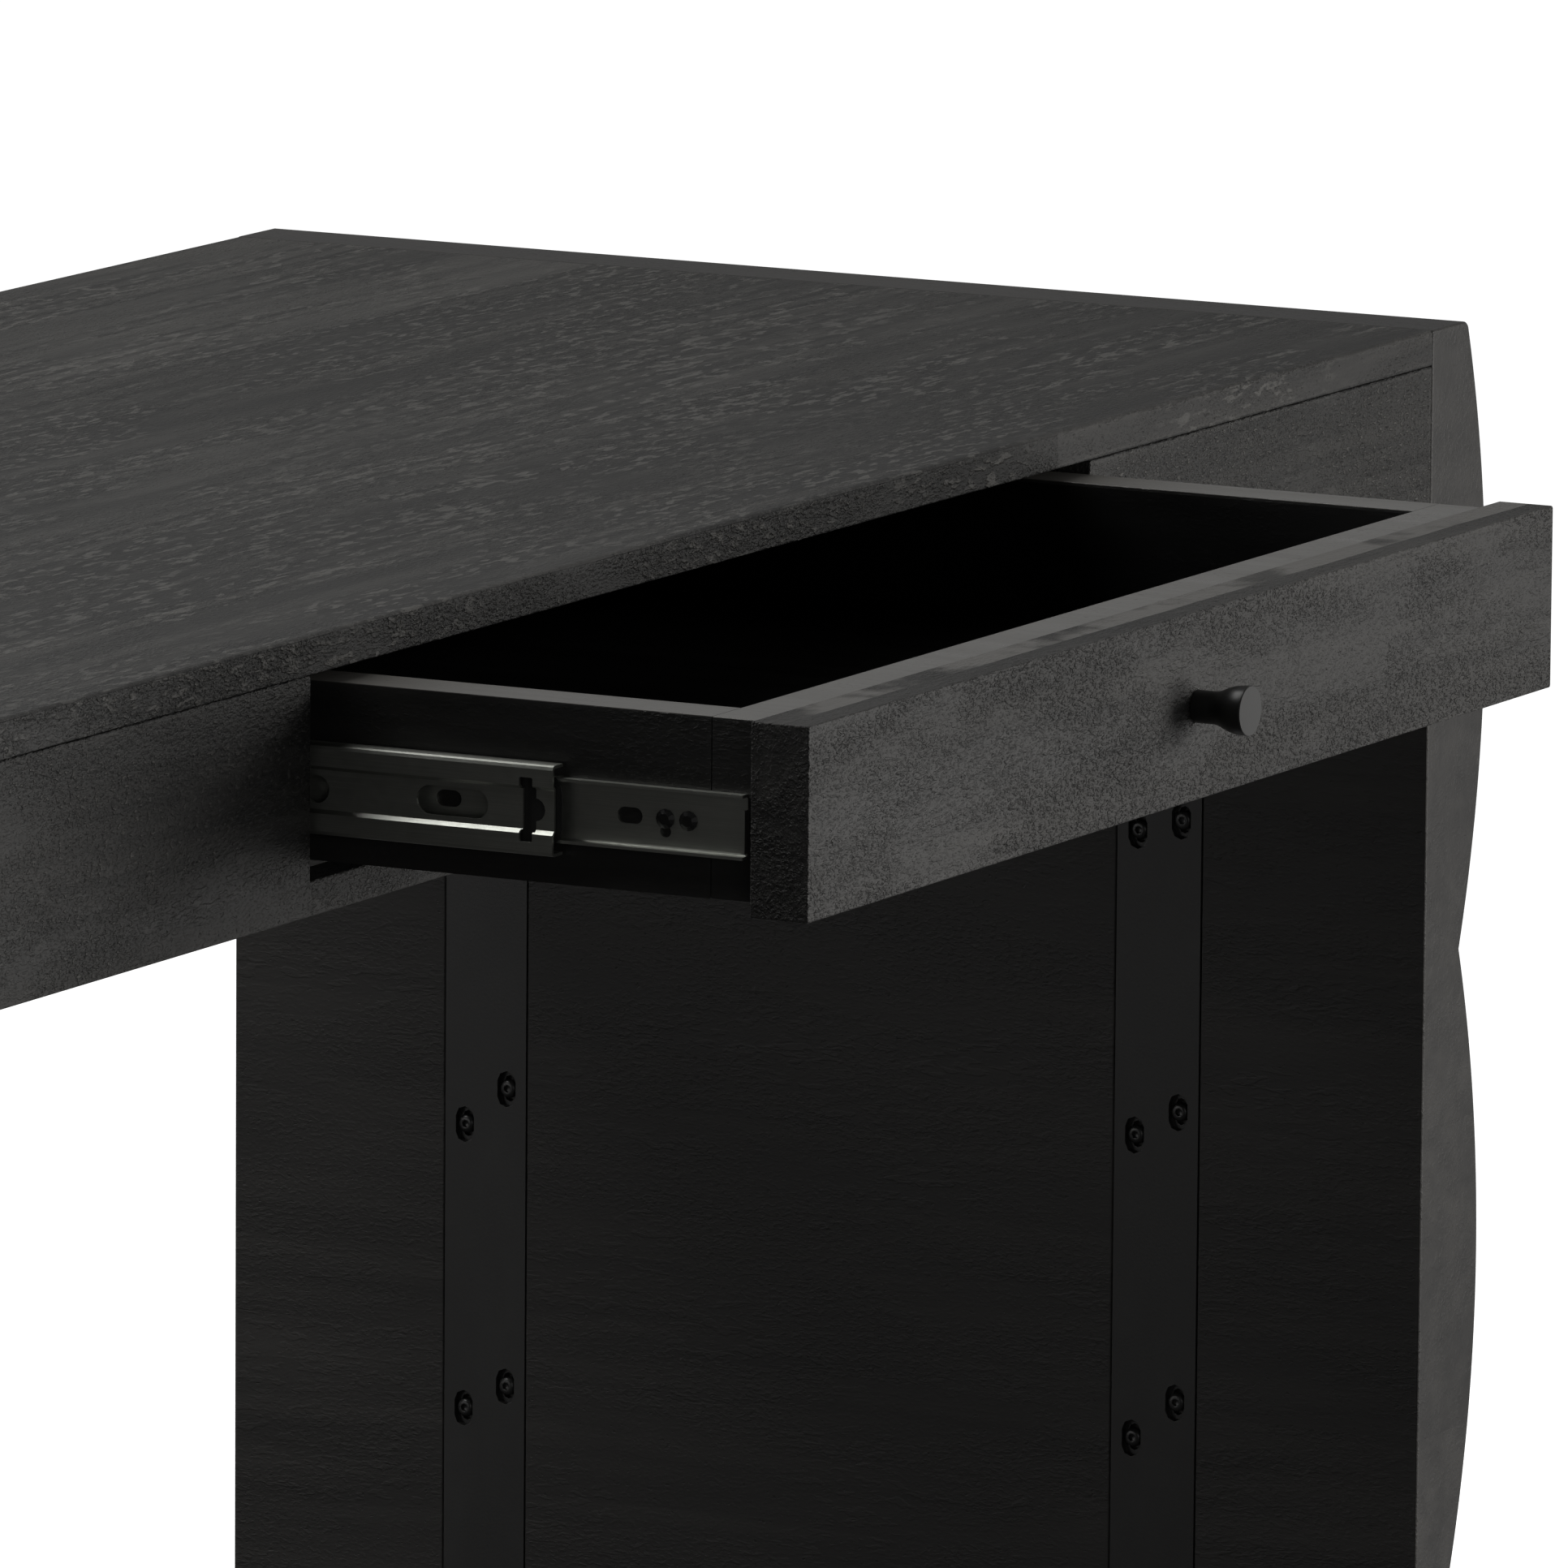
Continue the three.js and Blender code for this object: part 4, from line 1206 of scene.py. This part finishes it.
@dataclass
class Tabletop:
    """The top board, of staves that run from end to end. Lengths in metres."""

    arris: float = 0.9 * MM
    seam: float = 1.3 * MM
    # the front edge is brushed deeper and coloured dark as a painted shadow of the open drawer, all but a
    # plain length at its right end
    plain_lit_length: float = 0.36
    brushed: Colour = (0.011, 0.011, 0.0105)
    finish: BrushedWood = BrushedWood(
        grain=Axis.X,
        across=Axis.Y,
        streaks=2.2,
        rings=0.45,
        fleck=0.6,
        ridge=0.6,
        grit=0.2,
        knots=((-0.42, -0.02, 0.84), (0.12, 0.13, 0.84), (0.33, -0.09, 0.84), (-0.12, 0.3, 0.84)),
    )

    def zones(self, low: Vector, high: Vector) -> tuple[Zone, ...]:
        """The deeply brushed front edge, most of it coloured dark as a painted shadow of the open drawer,
        and the dark seams.

        Args:
            low: The board's lowest corner.
            high: The board's highest corner.

        Returns:
            The zones.
        """
        past_end = 10.0 * CLEAR
        corner = (low.x - past_end, low.y - CLEAR, low.z - CLEAR)
        return (
            # painted shadow of the open drawer: dark colour over the front edge, with deeper brushing
            Zone(
                corner, (high.x - self.plain_lit_length, low.y + 0.9 * MM, high.z - 1.0 * MM),
                self.brushed, cover=0.75, relief=3.0, ragged=1.5 * MM, fade=0.5 * MM,
            ),
            Zone(
                corner, (high.x + past_end, low.y + 2.0 * MM, low.z + self.seam),
                SEAM_BLACK, cover=0.8, ragged=1.6 * MM, fade=0.5 * MM,
            ),
            Zone(
                (high.x - self.seam, low.y - CLEAR, low.z - CLEAR),
                (high.x + CLEAR, high.y + CLEAR, high.z + CLEAR),
                SEAM_BLACK, cover=0.7, ragged=0.8 * MM, fade=0.6 * MM,
            ),
        )

    def build(self) -> None:
        """Finishes the board."""
        low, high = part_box("tabletop")
        piece = softened_copy("tabletop", "tabletop_board", self.arris, smooth_degrees=35.0)
        finish = replace(self.finish, zones=self.zones(low, high))
        dress(piece, finish.material("tabletop_stain", low, high), "board_wood", Body.TABLE, "tabletop")


@dataclass
class EndPanel:
    """A thick end panel with three convex lobes on its outer face. Lengths in metres."""

    side: Side
    lobes: int = 3
    rise: float = 22.5 * MM
    rows_per_lobe: int = 40
    channel_play: float = 0.3 * MM
    arris: float = 1.2 * MM
    arris_facets: int = 3
    crown_rounding: float = 3.0 * MM
    crown_facets: int = 5
    finish: BrushedWood = BrushedWood(
        grain=Axis.Y,
        across=Axis.Z,
        deep=(0.018, 0.0172, 0.0165),
        pale=(0.050, 0.0475, 0.0445),
        stave=0.139,
        stave_contrast=0.1,
        rings=0.06,
        fleck=0.03,
        grit=0.03,
        speck=0.12,
        pit_stain_and_shade=0.10,
        ridge=0.4,
        relief=0.00022,
        roughness=0.52,
        specular=0.4,
        worn=0.12,
        shift=(1.3, 0.7, 0.21),
    )

    def build(self, tree: ShapeTree) -> None:
        """Shapes the panel by its rule and finishes it.

        Args:
            tree: The scalloped panel's tree.
        """
        node = f"{self.side.word}_end_panel"
        low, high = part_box(node)
        near, far = sorted((abs(low.x), abs(high.x)))
        bars = [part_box(f"{self.side.word}_{end}_steel_bar") for end in ("front", "back")]
        bar_low, bar_high = bars[0]
        work = bpy.data.meshes.new(f"{self.side.word}_scalloped_panel")
        piece = new_piece(f"{self.side.word}_scalloped_panel", work)
        material = self.finish.material(f"{self.side.word}_panel_stain", low, high)
        height = high.z - low.z
        tree.apply(piece, {
            "Inner Face": near,
            "Valley Thickness": far - near - self.rise,
            "Lobe Rise": self.rise,
            "Lobe Pitch": height / self.lobes,
            "Depth": high.y - low.y,
            "Bottom": low.z,
            "Height": height,
            "Middle Of Depth": (low.y + high.y) / 2.0,
            "Rows": self.lobes * self.rows_per_lobe + 1,
            "Channel Width": bar_high.y - bar_low.y + 2.0 * self.channel_play,
            "Channel Height": bar_high.z - bar_low.z + 2.0 * self.channel_play,
            "Channel Depth": bar_high.x - bar_low.x + self.channel_play,
            "Channel Middle": (bar_low.z + bar_high.z) / 2.0,
            "Front Channel": (bar_low.y + bar_high.y) / 2.0,
            "Back Channel": (bars[1][0].y + bars[1][1].y) / 2.0,
            "Finish": material,
        })
        if self.side is Side.LEFT:
            mirror_x(piece.data)
        valley = far - self.rise
        round_edges(
            piece,
            lambda a, b: min(a.z, b.z) > high.z - MM and min(abs(a.x), abs(b.x)) > valley - MM,
            self.crown_rounding,
            self.crown_facets,
        )
        soften(piece, self.arris, self.arris_facets, 45.0)
        smooth_by_angle(piece, 30.0)
        dress(piece, material, "panel_wood", Body.TABLE, node)


def mirror_x(mesh: bpy.types.Mesh) -> None:
    """Turns a right-hand mesh into a left-hand one with its faces still outward."""
    with edited(mesh) as work:
        for vertex in work.verts:
            vertex.co.x = -vertex.co.x
        bmesh.ops.reverse_faces(work, faces=work.faces)


@dataclass
class BarScrews:
    """The pan heads that hold a steel bar in its channel. Lengths in metres."""

    count: int = 6
    first_drop: float = 23.0 * MM
    pitches: Pair = (131.0 * MM, 137.0 * MM)
    column_offset: float = 10.7 * MM
    seat_depth: float = 3.4 * MM
    head_radius: float = 4.25 * MM
    head_height: float = 2.9 * MM
    socket_radius: float = 1.7 * MM
    socket_depth: float = 1.5 * MM
    segments: int = 24

    def head(self) -> bpy.types.Mesh:
        """One domed head with a six-sided socket, its seat at the origin and its crown towards -X."""
        dome = [(0.0, 0.0), (self.head_radius, 0.0), (self.head_radius, self.head_height * 0.28)]
        for step in range(1, 6):
            angle = math.radians(15.0 * step)
            flat = self.socket_radius * 1.35
            radius = flat + (self.head_radius - flat) * math.cos(angle)
            dome.append((radius, self.head_height * (0.28 + 0.72 * math.sin(angle))))
        lip = self.socket_radius * 1.12
        floor_level = self.head_height - self.socket_depth
        dome += [(lip, self.head_height), (self.socket_radius, self.head_height - 0.12 * MM)]
        dome += [(self.socket_radius * 0.98, floor_level), (0.0, floor_level - 0.5 * MM)]
        work = turned(dome, self.segments)
        corner = math.tau / 6.0
        for vertex in work.verts:
            radius = math.hypot(vertex.co.x, vertex.co.z)
            if 1e-6 < radius <= self.socket_radius * 1.01:
                angle = (math.atan2(vertex.co.z, vertex.co.x) % corner) - corner / 2.0
                squeeze = math.cos(corner / 2.0) / math.cos(angle)
                vertex.co.x *= squeeze
                vertex.co.z *= squeeze
        for vertex in work.verts:
            vertex.co = Vector((-vertex.co.y, vertex.co.x, vertex.co.z))
        bmesh.ops.recalc_face_normals(work, faces=work.faces)
        return finished_mesh(work, "bar_screw_head")

    def build(
        self, tree: ShapeTree, side: Side, end: str, seed: int, finish: bpy.types.Material
    ) -> None:
        """Sets the screws of one bar.

        Args:
            tree: The screw columns' tree.
            side: The end of the table.
            end: "front" or "back".
            seed: Chance for the heads' turns.
            finish: Their material.
        """
        low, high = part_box(f"{side.word}_{end}_steel_bar")
        way = 1.0 if end == "front" else -1.0
        middle = (low + high) / 2.0
        face = min(abs(low.x), abs(high.x)) + self.seat_depth
        top = middle.z + way * ((high.z - low.z) / 2.0 - self.first_drop)
        piece = new_piece(f"{side.word}_{end}_bar_screws", self.head())
        tree.apply(piece, {
            "Count": self.count,
            "First Start": (face, middle.y - way * self.column_offset, top),
            "Second Start": (face, middle.y + way * self.column_offset, top),
            "First Step": (0.0, 0.0, -way * self.pitches[0]),
            "Second Step": (0.0, 0.0, -way * self.pitches[1]),
            "Seed": seed,
            "Finish": finish,
        })
        if side is Side.LEFT:
            mirror_x(piece.data)
        smooth_by_angle(piece, 32.0)
        dress(piece, finish, "screw_steel", Body.TABLE)


@dataclass
class SteelBars:
    """The two flat bars let into each end panel. Lengths in metres."""

    arris: float = 0.35 * MM
    first_seed: int = 11
    seed_step: int = 7
    finish: PaintedSteel = PaintedSteel()
    screw_finish: PaintedSteel = PaintedSteel(
        colour=(0.014, 0.014, 0.014), rubbed=(0.05, 0.05, 0.048), roughness=0.34
    )

    def build(self, screws: BarScrews, tree: ShapeTree) -> None:
        """Finishes the bars and sets their screws.

        Args:
            screws: The screws' sizes.
            tree: The screw columns' tree.
        """
        black = self.finish.material("bar_paint")
        head_black = self.screw_finish.material("bar_screw_black")
        seed = self.first_seed
        for side in Side:
            for end in ("front", "back"):
                node = f"{side.word}_{end}_steel_bar"
                piece = softened_copy(node, f"{node}_plate", self.arris, arris_degrees=40.0)
                dress(piece, black, "bar_steel", Body.TABLE, node)
                screws.build(tree, side, end, seed, head_black)
                seed += self.seed_step


@dataclass
class Aprons:
    """The front board with the drawer's opening, and the back board. Lengths in metres."""

    arris: float = 0.7 * MM
    finish: BrushedWood = BrushedWood(
        grain=Axis.X,
        across=Axis.Z,
        deep=(0.011, 0.0108, 0.0103),
        pale=(0.044, 0.0425, 0.040),
        stave=0.4,
        stave_contrast=0.1,
        rings=0.2,
        fleck=0.12,
        grit=0.6,
        pit_stain_and_shade=0.25,
        relief=0.0008,
        shift=(0.4, 2.1, 0.9),
    )
    seam: float = 0.9 * MM

    def build(self) -> None:
        """Finishes both boards."""
        for node in ("front_apron", "back_apron"):
            low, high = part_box(node)
            piece = softened_copy(node, f"{node}_board", self.arris)
            seam = Zone(
                (low.x - CLEAR, low.y - CLEAR, high.z - self.seam),
                (high.x + CLEAR, low.y + 2.0 * MM, high.z + CLEAR),
                SEAM_BLACK, cover=0.8, ragged=1.2 * MM, fade=0.5 * MM,
            )
            stain = replace(self.finish, zones=(seam,)).material(f"{node}_stain", low, high)
            dress(piece, stain, "apron_wood", Body.TABLE, node)


@dataclass
class HiddenTimber:
    """The runners, corner blocks, tongues and glides under the top."""

    finish: BrushedWood = BrushedWood(
        grain=Axis.Y,
        across=Axis.Z,
        deep=(0.012, 0.0115, 0.011),
        pale=(0.05, 0.048, 0.045),
        fleck=0.1,
        grit=0.1,
        relief=0.0003,
        roughness=0.7,
        worn=0.15,
    )

    def build(self) -> None:
        """Finishes the parts, which keep their shapes."""
        glide = DullPlastic().material("glide_plastic")
        for side in Side:
            for word in ("slide_runner", "front_corner_block", "back_corner_block", "top_tongue"):
                node = f"{side.word}_{word}"
                low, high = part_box(node)
                paint_node(node, self.finish.material(f"{node}_stain", low, high))
            for end in ("front", "back"):
                paint_node(f"{side.word}_{end}_glide", glide)


# ------------------------------------------------------------------ the drawer


@dataclass
class Knob:
    """A turned knob: a straight neck that swells to a flat face. Lengths in metres."""

    neck_radius: float = 6.6 * MM
    neck_length: float = 7.5 * MM
    head_length: float = 1.6 * MM
    swell_pull: float = 5.5 * MM
    rim: float = 0.35 * MM
    foot_rounding: float = 0.3 * MM
    lip: float = 0.25 * MM
    lip_pull: float = 0.15 * MM
    segments: int = 96
    curve_steps: int = 18
    finish: PaintedSteel = PaintedSteel(
        colour=(0.0125, 0.0125, 0.012), rubbed=(0.02, 0.02, 0.0195), roughness=0.36, peel=0.00002
    )

    def build(self) -> None:
        """Turns the knob and finishes it."""
        low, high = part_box("drawer_knob")
        radius = (high.x - low.x) / 2.0
        length = high.y - low.y
        middle_x, middle_z = (low.x + high.x) / 2.0, (low.z + high.z) / 2.0
        foot = self.foot_rounding
        profile = [(0.0, 0.0), (self.neck_radius - foot, 0.0), (self.neck_radius, foot)]
        start = (self.neck_radius, self.neck_length)
        end = (radius - self.lip, length - self.head_length)
        reach = start[1] + self.swell_pull
        pulls = ((start[0], reach), (end[0] - self.lip_pull, reach))
        for step in range(self.curve_steps + 1):
            t = step / self.curve_steps
            weights = ((1 - t) ** 3, 3 * t * (1 - t) ** 2, 3 * t * t * (1 - t), t ** 3)
            points = (start, *pulls, end)
            profile.append(tuple(sum(w * p[i] for w, p in zip(weights, points)) for i in range(2)))
        profile += [(radius, length - self.rim), (radius - self.rim, length), (0.0, length)]
        work = turned([(r, high.y - along) for r, along in profile], self.segments)
        for vertex in work.verts:
            vertex.co += Vector((middle_x, 0.0, middle_z))
        piece = new_piece("turned_knob", finished_mesh(work, "turned_knob"))
        smooth_by_angle(piece, 28.0)
        dress(piece, self.finish.material("knob_black"), "knob_steel", Body.DRAWER, "drawer_knob")


@dataclass
class Drawer:
    """The drawer's applied front and its box. Lengths in metres."""

    front_arris: float = 0.8 * MM
    box_arris: float = 0.6 * MM
    rim_margin: float = 1.4 * MM
    knob: Knob = field(default_factory=Knob)
    planed: Colour = (0.098, 0.0935, 0.0865)
    planed_width: float = 14.0 * MM
    shade: Colour = (0.0025, 0.0025, 0.0025)
    hair: float = 0.1 * MM
    front_finish: BrushedWood = BrushedWood(
        grain=Axis.X,
        across=Axis.Z,
        stave=0.4,
        stave_contrast=0.0,
        rings=0.12,
        fleck=0.06,
        grit=0.14,
        pit_stain_and_shade=0.5,
        relief=0.001,
        worn=0.1,
        shift=(0.8, 0.3, 1.7),
    )
    box_finish: BrushedWood = BrushedWood(
        grain=Axis.Y,
        across=Axis.Z,
        deep=(0.012, 0.012, 0.0115),
        pale=(0.03, 0.029, 0.028),
        stave=0.5,
        stave_contrast=0.0,
        rings=0.1,
        fleck=0.03,
        grit=0.02,
        speck=0.1,
        pit_stain_and_shade=0.1,
        relief=0.0001,
        roughness=0.4,
        specular=0.5,
        worn=0.1,
        shift=(2.8, 0.9, 0.4),
    )

    def hollow(self) -> tuple[Triple, Triple]:
        """The room inside the box, a hair larger than the room itself, up to just under the rim."""
        left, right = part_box("drawer_left_side")[1].x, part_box("drawer_right_side")[0].x
        front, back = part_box("drawer_box_front")[1].y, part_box("drawer_box_back")[0].y
        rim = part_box("drawer_left_side")[1].z - self.rim_margin
        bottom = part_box("drawer_bottom")[0].z - self.hair
        return (left - self.hair, front - self.hair, bottom), (right + self.hair, back + self.hair, rim)

    def build(self) -> None:
        """Finishes the front, the box and the knob."""
        low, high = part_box("drawer_front")
        face = softened_copy("drawer_front", "drawer_front_board", self.front_arris)
        smooth_back = Zone(
            (low.x - CLEAR, high.y - self.planed_width, high.z - 0.5 * MM),
            (high.x + CLEAR, high.y + CLEAR, high.z + CLEAR),
            self.planed, relief=0.2, gloss=0.22, ragged=2.6 * MM, fade=0.5 * MM,
        )
        front_finish = replace(self.front_finish, zones=(smooth_back,))
        stain = front_finish.material("drawer_front_stain", low, high)
        dress(face, stain, "drawer_front_wood", Body.DRAWER, "drawer_front")
        # the inside of the box is coloured near black: its dark inner finish and painted shade in the
        # hollow
        inside = Zone(*self.hollow(), self.shade, relief=0.3, fade=0.1 * MM)
        rim_low, rim_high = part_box("drawer_box_front")[0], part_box("drawer_right_side")[1]
        rim = Zone(
            (-rim_high.x - CLEAR, rim_low.y - CLEAR, rim_high.z - 0.4 * MM),
            (rim_high.x + CLEAR, rim_high.y + CLEAR, rim_high.z + CLEAR),
            self.planed, relief=0.3, gloss=0.1, fade=0.2 * MM,
        )
        box_finish = replace(self.box_finish, zones=(inside, rim))
        for node in ("drawer_box_front", "drawer_box_back", "drawer_left_side", "drawer_right_side"):
            low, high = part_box(node)
            piece = softened_copy(node, f"{node}_board", self.box_arris)
            stain = box_finish.material(f"{node}_stain", low, high)
            dress(piece, stain, "drawer_box_wood", Body.DRAWER, node)
        low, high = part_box("drawer_bottom")
        paint_node("drawer_bottom", box_finish.material("drawer_bottom_stain", low, high))
        paint_node("knob_screw", PaintedSteel().material("knob_screw_black"))
        self.knob.build()


@dataclass
class Slides:
    """The ball-bearing slides. Lengths in metres."""

    punched_edge: float = 0.3 * MM
    finish: ZincSteel = ZincSteel()

    def build(self) -> None:
        """Finishes the members, cages, bumpers and screws."""
        zinc = self.finish.material("slide_zinc")
        plastic = DullPlastic().material("slide_plastic")
        black = PaintedSteel(colour=(0.008, 0.008, 0.008), roughness=0.38).material("slide_screw_black")
        bodies = {
            "cabinet_member": {Side.LEFT: Body.TABLE, Side.RIGHT: Body.TABLE},
            "middle_member": {Side.LEFT: Body.LEFT_MIDDLE, Side.RIGHT: Body.RIGHT_MIDDLE},
            "drawer_member": {Side.LEFT: Body.DRAWER, Side.RIGHT: Body.DRAWER},
        }
        for side in Side:
            for word, riders in bodies.items():
                node = f"{side.word}_{word}"
                piece = softened_copy(node, f"{node}_channel", self.punched_edge, 3, 20.0, 25.0)
                dress(piece, zinc, "slide_zinc", riders[side], node)
            for cage in ("outer", "inner"):
                paint_node(f"{side.word}_{cage}_ball_cage", zinc)
            paint_node(f"{side.word}_slide_bumper", plastic)
            for number in (1, 2, 3):
                paint_node(f"{side.word}_cabinet_member_screw_{number}", black)
                paint_node(f"{side.word}_drawer_member_screw_{number}", black)


def main() -> None:
    """Builds the studio, the table and the drawer in order."""
    logging.basicConfig(level=logging.INFO, format="%(name)s: %(message)s")
    Studio().build()
    panel_tree = scalloped_panel_tree()
    screw_tree = screw_columns_tree()
    Tabletop().build()
    for side in Side:
        EndPanel(side).build(panel_tree)
    SteelBars().build(BarScrews(), screw_tree)
    Aprons().build()
    HiddenTimber().build()
    Drawer().build()
    Slides().build()
    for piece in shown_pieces():
        LOG.info("made %s", piece.name)


if __name__ == "__main__":
    main()
